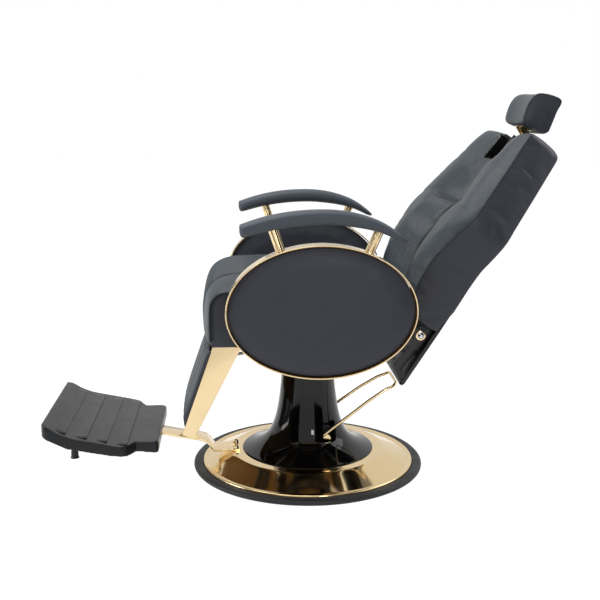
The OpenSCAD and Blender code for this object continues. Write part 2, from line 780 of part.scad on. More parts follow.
module back_frame() {
    color(cast) {
        difference() {
            at_back() union() {
                both_sides() frame_rail(172, 200);
                frame_bridges();
                both_sides() plate_x(200, 206) {
                    polygon([[22, -40], [-4, -40], [-17, 6], [-10, 24], [12, 40], [22, 40]]);
                    circle(r = 17);
                }
            }
            pin_x(-250, 250, hinge_y, hinge_z, 8 + run_gap);
        }
        p = back_point(crank_s, crank_f);
        pin_x(-180, 180, p[0], p[1], crank_pin_r);
    }
}

module back_board() {
    at_back() color(gloss_black) difference() {
        board_blank();
        // clearance for the rear eyes of the link and the strut
        for (x = [-135, 102]) translate([x, 15, crank_s - 22]) cube([20, 16.5, 44]);
    }
}

module board_blank() {
    intersection() {
        translate([-300, 0, 0]) rotate([90, 0, 90]) linear_extrude(height = 600) polygon([
            [22.5, -143], [35, -143], [35, 104], [21, 179], [10, 252], [10, 598], [0.5, 598],
            [0.5, 250], [9.5, 177], [22.5, 104]]);
        translate([0, 50, 0]) rotate([90, 0, 0]) linear_extrude(height = 100) difference() {
            polygon(concat([for (s = [-143, -134, -40, 36]) [s < -140 ? 212 : 224, s]],
                [for (s = [89, 200, 290, 322, 380, 480, 590]) [along(back_half_w, s) - 46, s]],
                [[170, 598], [-170, 598]],
                [for (s = [590, 480, 380, 322, 290, 200, 89]) [46 - along(back_half_w, s), s]],
                [for (s = [36, -40, -134, -143]) [s < -140 ? -212 : -224, s]]));
            translate([-notch_half_w, 508]) square([2 * notch_half_w, 200]);
        }
    }
}

module notch_liner() {
    t = 3;
    h = 594 - 508;
    color(gloss_black) at_back() {
        for (x = [-notch_half_w + 0.2, notch_half_w - t - 0.2]) {
            translate([x, -98, 508.2]) cube([t, 100, h]);
        }
        translate([-notch_half_w + 0.2, -98, 508.2]) cube([2 * notch_half_w - 0.4, 100, t]);
    }
}

module headrest_guide() {
    color(cast) at_back() difference() {
        translate([-30, 10.2, 410]) cube([60, 16.8, 84]);
        translate([-20 - run_gap, 15 - run_gap, 400]) cube([40 + 2 * run_gap, 6 + 2 * run_gap, 110]);
    }
}

// Route of the headrest post as [before the back, along the back].
post_route = [[-18, 350], [-18, 606], [-12, 626], [0, 636], [18, 637], [34, 629], [46, 622]];
tilt_s = 622;
tilt_f = 48;

// Points beside a route at distance t, mitred at its corners.
function beside(route, t) = [for (i = [0 : len(route) - 1])
    let (a = unit(route[max(i, 1)] - route[max(i, 1) - 1]),
        b = unit(route[min(i + 1, len(route) - 1)] - route[min(i + 1, len(route) - 1) - 1]),
        m = unit(a + b), k = t / (m * a))
    route[i] + k * [m[1], -m[0]]];

module headrest_post() {
    route = [for (p = post_route) [-p[0], p[1]]];
    near = beside(route, 3);
    far = beside(route, -3);
    color(gold) at_back() difference() {
        union() {
            plate_x(-20, 20) polygon(concat(near, [for (i = [len(far) - 1 : -1 : 0]) far[i]]));
            pin_x(-14, 14, -tilt_f, tilt_s, 8);
        }
        pin_x(-30, 30, -tilt_f, tilt_s, 4 + run_gap);
        for (x = [-21, 14]) pin_x(x, x + 7, -tilt_f, tilt_s, 9);
    }
}

module headrest_bracket() {
    color([0.85, 0.85, 0.87]) at_back() {
        pin_x(-22, 22, -tilt_f, tilt_s, 4);
        both_sides() plate_x(14.5, 18.5) hull() {
            translate([-tilt_f, tilt_s]) circle(r = 7.5);
            polygon([[-88, 631.5], [-62, 637], [-62, 633], [-88, 628]]);
        }
        translate([-45, -90, 631.2]) rotate([12, 0, 0]) cube([90, 29, 2.5]);
    }
}

// Outline of the headrest from its side, as [before the back, along the back] at the middle.
module headrest_cushion() {
    half = 90;
    xs = [-90, -88, -82, -70, -46, -20, 0, 20, 46, 70, 82, 88, 90];
    side = [[90, 634], [62, 640], [40, 643], [32, 652], [35, 668], [42, 692], [49, 716],
        [54, 740], [62, 747], [80, 742], [102, 734], [121, 723], [130, 706], [129, 680],
        [122, 655], [111, 634]];
    centre = [80, 680];
    color(vinyl) at_back() loft([for (x = xs)
        let (edge = abs(x) / half, k = 1 - 0.07 * pow(edge, 12), dish = 6 * (1 - edge * edge))
        [for (i = [0 : len(side) - 1]) let (p = side[i], front = i > 10 ? 1 : 0)
            [x, -(centre[0] + (p[0] - centre[0]) * k - dish * front),
                centre[1] + (p[1] - centre[1]) * k]]]);
}

// ---- legrest -----------------------------------------------------------------------------

module legrest_shaft() {
    color(steel) {
        pin_x(-leg_half_w, leg_half_w, shaft_y, shaft_z, shaft_r);
        plate_x(-138, -132) hull() {
            translate([shaft_y, shaft_z]) circle(r = 12.5);
            translate([shaft_y, shaft_z - lug_r]) circle(r = 10);
        }
        pin_x(-138, -118, shaft_y, shaft_z - lug_r, 5);
    }
}

module legrest_plate() {
    color(gold) plate_x(leg_half_w, leg_half_w + plate_t) polygon([
        [-270.7, 414.7], [-196, 403.5], [-328, 147.5], [-362, 157.7]]);
}

module left_legrest_plate() { legrest_plate(); }
module right_legrest_plate() { mirror([1, 0, 0]) legrest_plate(); }

module calf_board() {
    color(ply) at_legrest() difference() {
        translate([-leg_half_w, -10.4, -232]) cube([2 * leg_half_w, 12, 206]);
        translate([-139, -20, -52]) cube([8, 40, 30]);
    }
}

function calf_depth(d) = along([[9, 10], [14, 17], [26, 21], [140, 21], [190, 19.5], [214, 16],
    [228, 8], [232, 1.5]], d);
function calf_swell(x) = abs(x) > 195 ? 0.42 : 0.6 + 0.4 * (1 - pow(abs(x) / 195, 2));
function calf_channel(x) = 1.8 * pow(abs(sin(180 * x / 48)), 0.5) - 1.8;

module calf_cushion() {
    xs = concat([-196, -193, -184], [for (i = [-7 : 7]) i * 24], [184, 193, 196]);
    ds = [9, 14, 26, 60, 105, 150, 190, 214, 228, 232];
    board_front = 10.4;
    color(vinyl) at_legrest() difference() {
        loft([for (x = xs)
            let (swell = calf_swell(x), wave = abs(x) < 170 ? 1 : 0)
            concat(
                [for (d = ds) [x + wave * 3 * sin(d * 5),
                    -board_front - max(0.8, (calf_depth(d) + calf_channel(x)) * swell), -d]],
                [[x, -board_front, -232], [x, -board_front, -120], [x, -board_front, -8]])]);
        // room for the bearings
        for (x = [-159, 149]) translate([x, -20.5, -20.5]) cube([10, 30, 40]);
    }
}

link_front = [shaft_y, shaft_z - lug_r];
link_length = 541.74;
link_angle = 9.23;

module legrest_link() {
    rear = link_front + link_length * [cos(link_angle), sin(link_angle)];
    x = -126;
    color(steel) difference() {
        union() {
            bar([x, link_front[0], link_front[1]], [x, rear[0], rear[1]], 5);
            pin_x(x - 4, x + 4, link_front[0], link_front[1], 11);
            pin_x(x - 4, x + 4, rear[0], rear[1], 13);
        }
        pin_x(x - 9, x + 9, link_front[0], link_front[1], 5 + run_gap);
        pin_x(x - 9, x + 9, rear[0], rear[1], eye_r);
    }
}

// Gas strut: its front pin, and its rear eye, which stands a little off the frame's cross rod.
strut_front = [-135, 350];
strut_eye = back_point(crank_s, crank_f) + [1.33, 2.87];
strut_angle = atan2(strut_eye[1] - strut_front[1], strut_eye[0] - strut_front[0]);
strut_length = norm(strut_eye - strut_front);
strut_x = 112;

// Places its children with +X along the strut, from its front pin.
module at_strut() {
    translate([strut_x, strut_front[0], strut_front[1]]) rotate([strut_angle, 0, 0])
        rotate([0, 0, 90]) children();
}

module gas_cylinder() {
    color(gloss_black) difference() {
        union() {
            at_strut() translate([8, 0, 0]) rotate([0, 90, 0]) cylinder(h = 20, r = 5.2);
            at_strut() translate([20, 0, 0]) rotate([0, 90, 0]) cylinder(h = 220, r = 13);
            pin_x(strut_x - 5.5, strut_x + 5.5, strut_front[0], strut_front[1], 12);
        }
        pin_x(strut_x - 20, strut_x + 20, strut_front[0], strut_front[1], 5 + run_gap);
        at_strut() translate([60, 0, 0]) rotate([0, 90, 0]) cylinder(h = 200, r = 5 + run_gap);
    }
}

module gas_rod() {
    color([0.85, 0.85, 0.87]) difference() {
        union() {
            at_strut() translate([130, 0, 0]) rotate([0, 90, 0]) {
                cylinder(h = strut_length - 130 - 10, r = 5);
            }
            pin_x(strut_x - 5, strut_x + 5, strut_eye[0], strut_eye[1], 14);
        }
        pin_x(strut_x - 9, strut_x + 9, strut_eye[0], strut_eye[1], eye_r + 1);
    }
}

base_rim();
base_dish();
ballast_plate();
pump_body();
pump_bolts();
column_cover();
cover_collar();
ram_seal();
footrest_bar();
bar_bolts();
footplate();
footplate_bolts();
stop_stud();
stop_foot();
pedal();
pump_plunger();
ram();
thrust_bearing();
swivel_plate();
swivel_bolts();
seat_frame();
seat_board();
seat_cushion();
left_panel_band();
right_panel_band();
left_panel_board();
right_panel_board();
left_panel_pad();
right_panel_pad();
left_panel_lining();
right_panel_lining();
panel_bolts();
left_arm_posts();
right_arm_posts();
left_armrest();
right_armrest();
hinge_plates();
hinge_bolts();
legrest_bearings();
recline_lever();
lever_grip();
back_frame();
back_board();
back_cushion();
notch_liner();
headrest_guide();
headrest_post();
headrest_bracket();
headrest_cushion();
legrest_shaft();
left_legrest_plate();
right_legrest_plate();
calf_board();
calf_cushion();
legrest_link();
gas_cylinder();
gas_rod();
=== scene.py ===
"""Hydraulic barber chair, dressed around its packed construction.

Lengths are written in millimetres and turned to metres where a mesh is made. -Y is the sitter's
front, +X the sitter's left and +Z up. The back, the headrest and the legrest are drawn in their own
upright frames and then leant as they stand.
"""

import logging
import math
from collections.abc import Iterable, Sequence
from dataclasses import dataclass, field
from enum import Enum

import bpy
import numpy as np
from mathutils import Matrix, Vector


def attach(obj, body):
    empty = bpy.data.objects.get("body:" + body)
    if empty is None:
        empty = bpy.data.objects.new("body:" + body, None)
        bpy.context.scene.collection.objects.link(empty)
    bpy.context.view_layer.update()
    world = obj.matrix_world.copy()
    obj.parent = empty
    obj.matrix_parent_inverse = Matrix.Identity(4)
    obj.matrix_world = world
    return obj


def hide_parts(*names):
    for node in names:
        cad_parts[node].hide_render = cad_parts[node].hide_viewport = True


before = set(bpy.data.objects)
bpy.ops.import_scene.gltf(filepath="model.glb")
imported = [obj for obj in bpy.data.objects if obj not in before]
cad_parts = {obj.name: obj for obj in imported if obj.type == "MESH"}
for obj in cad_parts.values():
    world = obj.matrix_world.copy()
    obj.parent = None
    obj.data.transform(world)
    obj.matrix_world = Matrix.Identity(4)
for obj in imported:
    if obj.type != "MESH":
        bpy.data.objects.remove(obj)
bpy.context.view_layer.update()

log = logging.getLogger("barber_chair")
MM = 0.001
# Place across a quilting that is given to what lies beside it, far from every stitched line.
BESIDE_QUILTING = 99.5


# ---- bodies and small maths ------------------------------------------------------------------


class Body(Enum):
    """The bodies that the dressed pieces ride on."""

    BASE = "base"
    PEDAL = "pedal"
    SEAT = "seat"
    LEVER = "recline_lever"
    BACK = "back"
    HEADREST_POST = "headrest_post"
    HEADREST = "headrest"
    LEGREST = "legrest"


class Side(Enum):
    """Side of the chair, as the sign of X."""

    LEFT = 1
    RIGHT = -1

    @property
    def word(self) -> str:
        """The side's name in lower case."""
        return self.name.lower()


@dataclass(frozen=True)
class Lean:
    """An upright drawing frame that leans about a line along X.

    Attributes:
        y: Y of the line the frame leans about.
        z: Z of that line.
        angle: How far the frame's top leans to the rear, in degrees.
    """

    y: float
    z: float
    angle: float

    def place(self, points: np.ndarray) -> np.ndarray:
        """Moves drawn points to where they stand on the chair.

        Args:
            points: Points as rows of x, y, z, in millimetres.

        Returns:
            The same points on the chair.
        """
        c, s = math.cos(math.radians(self.angle)), math.sin(math.radians(self.angle))
        x, y, z = points[..., 0], points[..., 1], points[..., 2]
        return np.stack([x, self.y + y * c + z * s, self.z - y * s + z * c], axis=-1)


UPRIGHT = Lean(0.0, 0.0, 0.0)
BACK_LEAN = Lean(293.0, 435.0, 37.0)
LEG_LEAN = Lean(-266.0, 397.0, 19.6)


@dataclass(frozen=True)
class Outline:
    """A smooth line through a list of places and values, which never overshoots them.

    Attributes:
        pairs: Places in rising order, each with its value.
    """

    pairs: tuple[tuple[float, float], ...]

    def at(self, place: np.ndarray | float) -> np.ndarray:
        """Value of the line.

        Args:
            place: One place or an array of them.

        Returns:
            The value at each place, held level past both ends.
        """
        x = np.array([p[0] for p in self.pairs], float)
        y = np.array([p[1] for p in self.pairs], float)
        h, rise = np.diff(x), np.diff(y) / np.diff(x)
        slope = np.zeros(len(x))
        slope[0], slope[-1] = rise[0], rise[-1]
        for i in range(1, len(x) - 1):
            if rise[i - 1] * rise[i] > 0:
                w1, w2 = 2 * h[i] + h[i - 1], h[i] + 2 * h[i - 1]
                slope[i] = (w1 + w2) / (w1 / rise[i - 1] + w2 / rise[i])
        q = np.clip(np.asarray(place, float), x[0], x[-1])
        k = np.clip(np.searchsorted(x, q, side="right") - 1, 0, len(x) - 2)
        t = (q - x[k]) / h[k]
        a = (1 + 2 * t) * (1 - t) ** 2 * y[k] + t * (1 - t) ** 2 * h[k] * slope[k]
        return a + t * t * (3 - 2 * t) * y[k + 1] + t * t * (t - 1) * h[k] * slope[k + 1]


def spline(points: Sequence[Sequence[float]], count: int) -> np.ndarray:
    """Even points along a smooth open line through the given ones.

    Args:
        points: Points that the line passes through.
        count: How many points to return.

    Returns:
        The points, evenly spaced along the line.
    """
    p = np.array(points, float)
    ends = np.vstack([2 * p[0] - p[1], p, 2 * p[-1] - p[-2]])
    fine = []
    for i in range(1, len(ends) - 2):
        a, b, c, d = ends[i - 1 : i + 3]
        gap = [max(np.linalg.norm(q - r) ** 0.5, 1e-6) for q, r in ((b, a), (c, b), (d, c))]
        t = np.linspace(0, 1, 13)[:-1, None]
        m1 = gap[1] * ((b - a) / gap[0] - (c - a) / (gap[0] + gap[1])) + (c - b)
        m2 = gap[1] * ((d - c) / gap[2] - (d - b) / (gap[1] + gap[2])) + (c - b)
        fine.append(
            (1 + 2 * t) * (1 - t) ** 2 * b
            + t * (1 - t) ** 2 * m1
            + t * t * (3 - 2 * t) * c
            + t * t * (t - 1) * m2
        )
    line = np.vstack([*fine, p[-1:]])
    return even(line, count)


def even(line: np.ndarray, count: int) -> np.ndarray:
    """Evenly spaced points along a line of straight pieces.

    Args:
        line: The line's corners.
        count: How many points to return.

    Returns:
        The points.
    """
    run = np.concatenate([[0], np.cumsum(np.linalg.norm(np.diff(line, axis=0), axis=1))])
    want = np.linspace(0, run[-1], count)
    return np.stack([np.interp(want, run, line[:, k]) for k in range(line.shape[1])], axis=-1)


def rounding(distance: np.ndarray, width: float, fullness: float) -> np.ndarray:
    """Share of full height at a distance from an edge that rolls over.

    Args:
        distance: Distance from the edge.
        width: Width over which the form reaches its full height.
        fullness: 1 is a straight slope, more is a fuller roll.

    Returns:
        0 at the edge, 1 from the width on.
    """
    return 1 - (1 - np.clip(distance / width, 0, 1)) ** fullness


# ---- finishes ------------------------------------------------------------------------------


def linear(colour: str) -> tuple[float, float, float, float]:
    """Turns an sRGB hex colour to the linear values that a shader takes.

    Args:
        colour: Colour such as "#3d4145".

    Returns:
        Linear red, green and blue, and an alpha of 1.
    """
    parts = [int(colour[i : i + 2], 16) / 255 for i in (1, 3, 5)]
    r, g, b = (c / 12.92 if c <= 0.04045 else ((c + 0.055) / 1.055) ** 2.4 for c in parts)
    return r, g, b, 1.0


def put_node(
    tree: bpy.types.NodeTree,
    kind: str,
    settings: dict[str, object] | None = None,
    inputs: dict[str | int, object] | None = None,
) -> bpy.types.Node:
    """Adds one shader node.

    Args:
        tree: Node tree to add it to.
        kind: Blender's name of the node type.
        settings: Properties of the node.
        inputs: Socket names or numbers, each with a value or an output socket to link.

    Returns:
        The new node.
    """
    node = tree.nodes.new(kind)
    for name, value in (settings or {}).items():
        setattr(node, name, value)
    for name, value in (inputs or {}).items():
        if isinstance(value, bpy.types.NodeSocket):
            tree.links.new(value, node.inputs[name])
        else:
            node.inputs[name].default_value = value
    return node


# Painted shade in the cover's sewn grooves and along its seams: the near black that the colour darkens to,
# and the mask values at which the darkening starts and is full.
GROOVE_SHADE_COLOUR = "#08090a"
GROOVE_SHADE_START, GROOVE_SHADE_END = 0.02, 0.6
# Values of the patch noise between which the roughness drifts.
PATCH_LOW, PATCH_HIGH = 0.25, 0.75


@dataclass(frozen=True)
class Grain:
    """One layer of relief on a surface.

    Attributes:
        size: Width of one grain or ripple, in millimetres.
        height: Height of the relief, in millimetres.
        cells: True for a grain of cells, false for a soft ripple.
        along: How many times longer the grain is along X, for a brushed or drawn surface.
    """

    size: float
    height: float
    cells: bool = False
    along: float = 1.0


@dataclass(frozen=True)
class Finish:
    """A real material and how its surface was made.

    Attributes:
        name: Name of the material.
        slot: Material slot of the record; not used.
        colour: Its colour.
        second: Colour that it drifts to, in soft patches.
        roughness: Roughness of the clean surface.
        uneven: How much the roughness drifts either way.
        patch: Size of the patches, in millimetres.
        metallic: 1 for bare metal.
        coat: Weight of a clear layer.
        coat_roughness: Roughness of that layer.
        specular: Specular level.
        grains: Layers of relief, coarse first.
        groove_shade: Painted shade: share by which the colour darkens in sewn grooves and along seams,
            where the cloth is folded in.
    """

    name: str
    slot: str
    colour: str
    second: str
    roughness: float
    uneven: float = 0.03
    patch: float = 40.0
    metallic: float = 0.0
    coat: float = 0.0
    coat_roughness: float = 0.05
    specular: float = 0.5
    grains: tuple[Grain, ...] = ()
    groove_shade: float = 0.0

    def material(self) -> bpy.types.Material:
        """Builds the material, or returns it when it exists.

        Returns:
            The Blender material.
        """
        made = bpy.data.materials.get(self.name)
        if made is not None:
            return made
        made = bpy.data.materials.new(self.name)
        made.use_nodes = True
        tree = made.node_tree
        tree.nodes.clear()
        where = put_node(tree, "ShaderNodeTexCoord").outputs["Object"]
        patches = put_node(
            tree,
            "ShaderNodeTexNoise",
            inputs={"Vector": where, "Scale": 1 / (self.patch * MM), "Detail": 3.0, "Roughness": 0.55},
        ).outputs["Fac"]
        tint = put_node(
            tree,
            "ShaderNodeMix",
            {"data_type": "RGBA"},
            {0: patches, 6: linear(self.colour), 7: linear(self.second)},
        ).outputs[2]
        # Painted shade: where the cover's mask marks sewn grooves and seams, the colour is mixed towards
        # near black.
        if self.groove_shade:
            groove_shade_mask = put_node(
                tree, "ShaderNodeAttribute", {"attribute_type": "GEOMETRY", "attribute_name": "groove_shade"}
            )
            share = put_node(
                tree,
                "ShaderNodeMapRange",
                inputs={
                    0: groove_shade_mask.outputs["Fac"],
                    1: GROOVE_SHADE_START,
                    2: GROOVE_SHADE_END,
                    3: 0.0,
                    4: self.groove_shade,
                },
            )
            tint = put_node(
                tree,
                "ShaderNodeMix",
                {"data_type": "RGBA"},
                {0: share.outputs[0], 6: tint, 7: linear(GROOVE_SHADE_COLOUR)},
            ).outputs[2]
        gloss = put_node(
            tree,
            "ShaderNodeMapRange",
            inputs={
                0: patches,
                1: PATCH_LOW,
                2: PATCH_HIGH,
                3: max(self.roughness - self.uneven, 0.01),
                4: self.roughness + self.uneven,
            },
        ).outputs[0]
        shader = put_node(
            tree,
            "ShaderNodeBsdfPrincipled",
            inputs={
                "Base Color": tint,
                "Roughness": gloss,
                "Metallic": self.metallic,
                "Coat Weight": self.coat,
                "Coat Roughness": self.coat_roughness,
                "Specular IOR Level": self.specular,
            },
        )
        relief = None
        for grain in self.grains:
            relief = self._relief(tree, where, grain, relief)
        if relief is not None:
            tree.links.new(relief, shader.inputs["Normal"])
        out = put_node(tree, "ShaderNodeOutputMaterial")
        tree.links.new(shader.outputs[0], out.inputs[0])
        made.diffuse_color = linear(self.colour)
        return made

    @staticmethod
    def _relief(
        tree: bpy.types.NodeTree,
        where: bpy.types.NodeSocket,
        grain: Grain,
        under: bpy.types.NodeSocket | None,
    ) -> bpy.types.NodeSocket:
        """Adds one layer of relief.

        Args:
            tree: Node tree to add it to.
            where: Coordinates that the pattern follows.
            grain: The layer.
            under: Normal of the layer below, if there is one.

        Returns:
            The new normal.
        """
        if grain.along != 1.0:
            where = put_node(
                tree, "ShaderNodeMapping", inputs={"Vector": where, "Scale": (1 / grain.along, 1, 1)}
            ).outputs[0]
        scale = 1 / (grain.size * MM)
        if grain.cells:
            pattern = put_node(
                tree,
                "ShaderNodeTexVoronoi",
                {"feature": "SMOOTH_F1"},
                {"Vector": where, "Scale": scale, "Smoothness": 0.6},
            ).outputs["Distance"]
        else:
            pattern = put_node(
                tree, "ShaderNodeTexNoise", inputs={"Vector": where, "Scale": scale, "Detail": 2.0}
            ).outputs["Fac"]
        bump = put_node(
            tree,
            "ShaderNodeBump",
            inputs={"Strength": 1.0, "Distance": grain.height * MM, "Height": pattern},
        )
        if under is not None:
            tree.links.new(under, bump.inputs["Normal"])
        return bump.outputs[0]


# PVC leathercloth, embossed with a fine pebble. The grain of about 1 mm is drawn at 1.8 mm, so
# that it shows; it breaks highlights up into a soft, dull glow.
LEATHERCLOTH = Finish(
    "embossed PVC leathercloth",
    "vinyl",
    "#2c343a",
    "#353e45",
    roughness=0.44,
    uneven=0.05,
    patch=70.0,
    specular=0.36,
    grains=(Grain(38.0, 0.5), Grain(1.8, 0.09, cells=True), Grain(0.9, 0.03)),
    # The share below darkens the colour in sewn grooves and along seams: painted shade.
    groove_shade=0.92,
)
# The same cloth on box sides and oval pads, a touch duller.
# Its colour, warmer and lighter than the front's, is painted light: the tone that the side walls show.
LEATHERCLOTH_SIDE = Finish(
    "embossed PVC leathercloth, side",
    "vinyl",
    "#33353d",
    "#3a3c45",
    roughness=0.47,
    uneven=0.05,
    patch=60.0,
    specular=0.32,
    grains=(Grain(55.0, 0.35), Grain(1.8, 0.08, cells=True), Grain(0.9, 0.03)),
    # The share below darkens the colour in sewn grooves and along seams: painted shade.
    groove_shade=0.92,
)
# Polyurethane foam with its own moulded skin: slate grey, finely pebbled, dull.
INTEGRAL_FOAM = Finish(
    "integral skin polyurethane foam",
    "arm_foam",
    "#404750",
    "#474f58",
    roughness=0.5,
    uneven=0.05,
    patch=50.0,
    specular=0.4,
    grains=(Grain(1.4, 0.07, cells=True), Grain(9.0, 0.08)),
)
# Titanium gold plating on polished steel: a pale warm mirror with faint wipe marks.
GOLD_PLATING = Finish(
    "gold plated polished steel",
    "gold_plate",
    "#f1dab0",
    "#ecd2a2",
    roughness=0.13,
    uneven=0.04,
    patch=60.0,
    metallic=1.0,
    grains=(Grain(90.0, 0.02),),
)
# The disc is spun from sheet, so its mirror is a little wavier than that of the bars.
GOLD_DISC = Finish(
    "gold plated spun steel",
    "gold_plate",
    "#ebd3a6",
    "#e2c796",
    roughness=0.08,
    uneven=0.04,
    patch=110.0,
    metallic=1.0,
    grains=(Grain(70.0, 0.05),),
)
# Bright chromium plating: a neutral mirror.
CHROME_PLATING = Finish(
    "bright chrome plating",
    "chrome_steel",
    "#d9dadd",
    "#cfd1d5",
    roughness=0.08,
    uneven=0.03,
    metallic=1.0,
)
# Baked black enamel on pressed steel: deep gloss with a trace of orange peel.
BLACK_ENAMEL = Finish(
    "baked black enamel",
    "black_gloss",
    "#060607",
    "#090909",
    roughness=0.06,
    uneven=0.02,
    specular=0.34,
    grains=(Grain(6.0, 0.008),),
)
# Injection moulded ABS shell: black, satin, with a fine spark-eroded texture.
SHELL_ABS = Finish(
    "moulded ABS shell",
    "shell_plastic",
    "#131416",
    "#18191b",
    roughness=0.36,
    uneven=0.05,
    grains=(Grain(1.2, 0.02, cells=True),),
)
# Moulded ABS, smooth from a polished tool.
GLOSSY_ABS = Finish(
    "polished black ABS",
    "black_plastic",
    "#0e0f10",
    "#131415",
    roughness=0.2,
    uneven=0.05,
    coat=0.3,
    grains=(Grain(12.0, 0.02),),
)
# Glass filled nylon, injection moulded: nearly black, half gloss, with a slightly wavy skin.
FILLED_NYLON = Finish(
    "glass filled nylon",
    "black_plastic",
    "#121417",
    "#191b1e",
    roughness=0.3,
    uneven=0.05,
    patch=40.0,
    specular=0.3,
    grains=(Grain(26.0, 0.03),),
)
# Vulcanised rubber: dull dark grey with a dusty bloom.
RIM_RUBBER = Finish(
    "vulcanised rubber",
    "rim_rubber",
    "#1c1d1f",
    "#27282a",
    roughness=0.5,
    uneven=0.08,
    patch=35.0,
    specular=0.4,
    grains=(Grain(1.6, 0.04),),
)
# Grey iron casting with a sand skin under black paint.
CAST_IRON = Finish(
    "painted grey iron",
    "cast",
    "#26272a",
    "#303135",
    roughness=0.55,
    uneven=0.08,
    patch=18.0,
    grains=(Grain(2.4, 0.12), Grain(0.9, 0.04)),
)
# Ground and zinc plated steel: cool grey with drawn grind lines.
GROUND_STEEL = Finish(
    "ground zinc plated steel",
    "steel",
    "#a9abb0",
    "#9a9ca2",
    roughness=0.28,
    uneven=0.07,
    metallic=1.0,
    grains=(Grain(1.2, 0.01, along=12.0),),
)
# Powder coat on welded square tube: satin black, fine orange peel.
FRAME_POWDER = Finish(
    "black powder coat",
    "frame_paint",
    "#17181a",
    "#1d1e20",
    roughness=0.4,
    uneven=0.05,
    grains=(Grain(2.2, 0.04),),
)
# Rotary cut birch plywood: pale, with drawn-out grain.
BIRCH_PLY = Finish(
    "birch plywood",
    "plywood",
    "#b08d62",
    "#9c7a50",
    roughness=0.6,
    uneven=0.05,
    patch=16.0,
    grains=(Grain(1.4, 0.06, along=14.0),),
)


# ---- working with pieces -----------------------------------------------------------------------


def put_down_all() -> None:
    """Leaves edit mode and deselects everything."""
    if bpy.context.object is not None and bpy.context.object.mode != "OBJECT":
        bpy.ops.object.mode_set(mode="OBJECT")
    bpy.ops.object.select_all(action="DESELECT")


def take_up(piece: bpy.types.Object) -> None:
    """Makes one piece the only selected one, and active.

    Args:
        piece: The piece.
    """
    put_down_all()
    piece.select_set(True)
    bpy.context.view_layer.objects.active = piece


def apply_modifier(piece: bpy.types.Object, kind: str, **settings: object) -> None:
    """Adds one modifier and applies it.

    Args:
        piece: The piece it works on.
        kind: Blender's name of the modifier type.
        **settings: Properties of the modifier.
    """
    take_up(piece)
    modifier = piece.modifiers.new(kind.lower(), kind)
    for name, value in settings.items():
        setattr(modifier, name, value)
    bpy.ops.object.modifier_apply(modifier=modifier.name)


def smooth_faces(piece: bpy.types.Object, angle: float) -> None:
    """Shades a piece smooth, with sharp edges past an angle.

    Args:
        piece: The piece.
        angle: The angle in degrees.
    """
    take_up(piece)
    bpy.ops.object.shade_smooth_by_angle(angle=math.radians(angle))


def skin(name: str, points: np.ndarray, faces: Iterable[Sequence[int]]) -> bpy.types.Object:
    """Makes a mesh object from points in millimetres.

    Args:
        name: Name of the object.
        points: Its points.
        faces: Its faces, as numbers of points, seen anticlockwise from outside.

    Returns:
        The new object.
    """
    mesh = bpy.data.meshes.new(name)
    mesh.from_pydata([tuple(p) for p in points * MM], [], [tuple(f) for f in faces])
    mesh.update()
    piece = bpy.data.objects.new(name, mesh)
    bpy.context.scene.collection.objects.link(piece)
    return piece


def hand_over(
    piece: bpy.types.Object,
    body: Body,
    finish: Finish,
    stands_for: Sequence[str] = (),
) -> None:
    """Gives a finished piece its finish and ties it to its body.

    Args:
        piece: The piece, in place.
        body: The body that it rides on.
        finish: Its finish.
        stands_for: Construction nodes that it is shown instead of.
    """
    if not piece.data.materials:
        piece.data.materials.append(finish.material())
    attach(piece, body.value)
    if stands_for:
        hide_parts(*stands_for)
    log.info("%s: %d faces, on %s", piece.name, len(piece.data.polygons), body.value)


def dress_node(node: str, finish: Finish) -> None:
    """Gives a construction node that stays in view its finish.

    Args:
        node: The node.
        finish: Its finish.
    """
    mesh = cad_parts[node].data
    mesh.materials.clear()
    mesh.materials.append(finish.material())
    log.info("%s: kept, %s", node, finish.name)


def worked_copy(
    node: str, name: str, edge: float = 0.0, steps: int = 2, angle: float = 32.0
) -> bpy.types.Object:
    """Copies a construction node, merges its loose triangles and eases its edges.

    Args:
        node: The node.
        name: Name of the new piece.
        edge: Width of the eased edges, in millimetres; 0 leaves them sharp.
        steps: Faces across an eased edge.
        angle: Edges sharper than this many degrees are eased and shaded sharp.

    Returns:
        The new piece, at the node's place.
    """
    take_up(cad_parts[node])
    bpy.ops.object.duplicate()
    piece = bpy.context.object
    for key in list(piece.keys()):
        del piece[key]
    piece.parent = None
    piece.name = name
    piece.data.name = name
    piece.data.materials.clear()
    bpy.ops.object.mode_set(mode="EDIT")
    bpy.ops.mesh.select_all(action="SELECT")
    bpy.ops.mesh.remove_doubles(threshold=0.02 * MM)
    bpy.ops.mesh.dissolve_limited(angle_limit=math.radians(0.4))
    bpy.ops.object.mode_set(mode="OBJECT")
    if edge:
        apply_modifier(
            piece,
            "BEVEL",
            width=edge * MM,
            segments=steps,
            limit_method="ANGLE",
            angle_limit=math.radians(angle),
            use_clamp_overlap=True,
            miter_outer="MITER_ARC",
        )
    smooth_faces(piece, angle)
    return piece


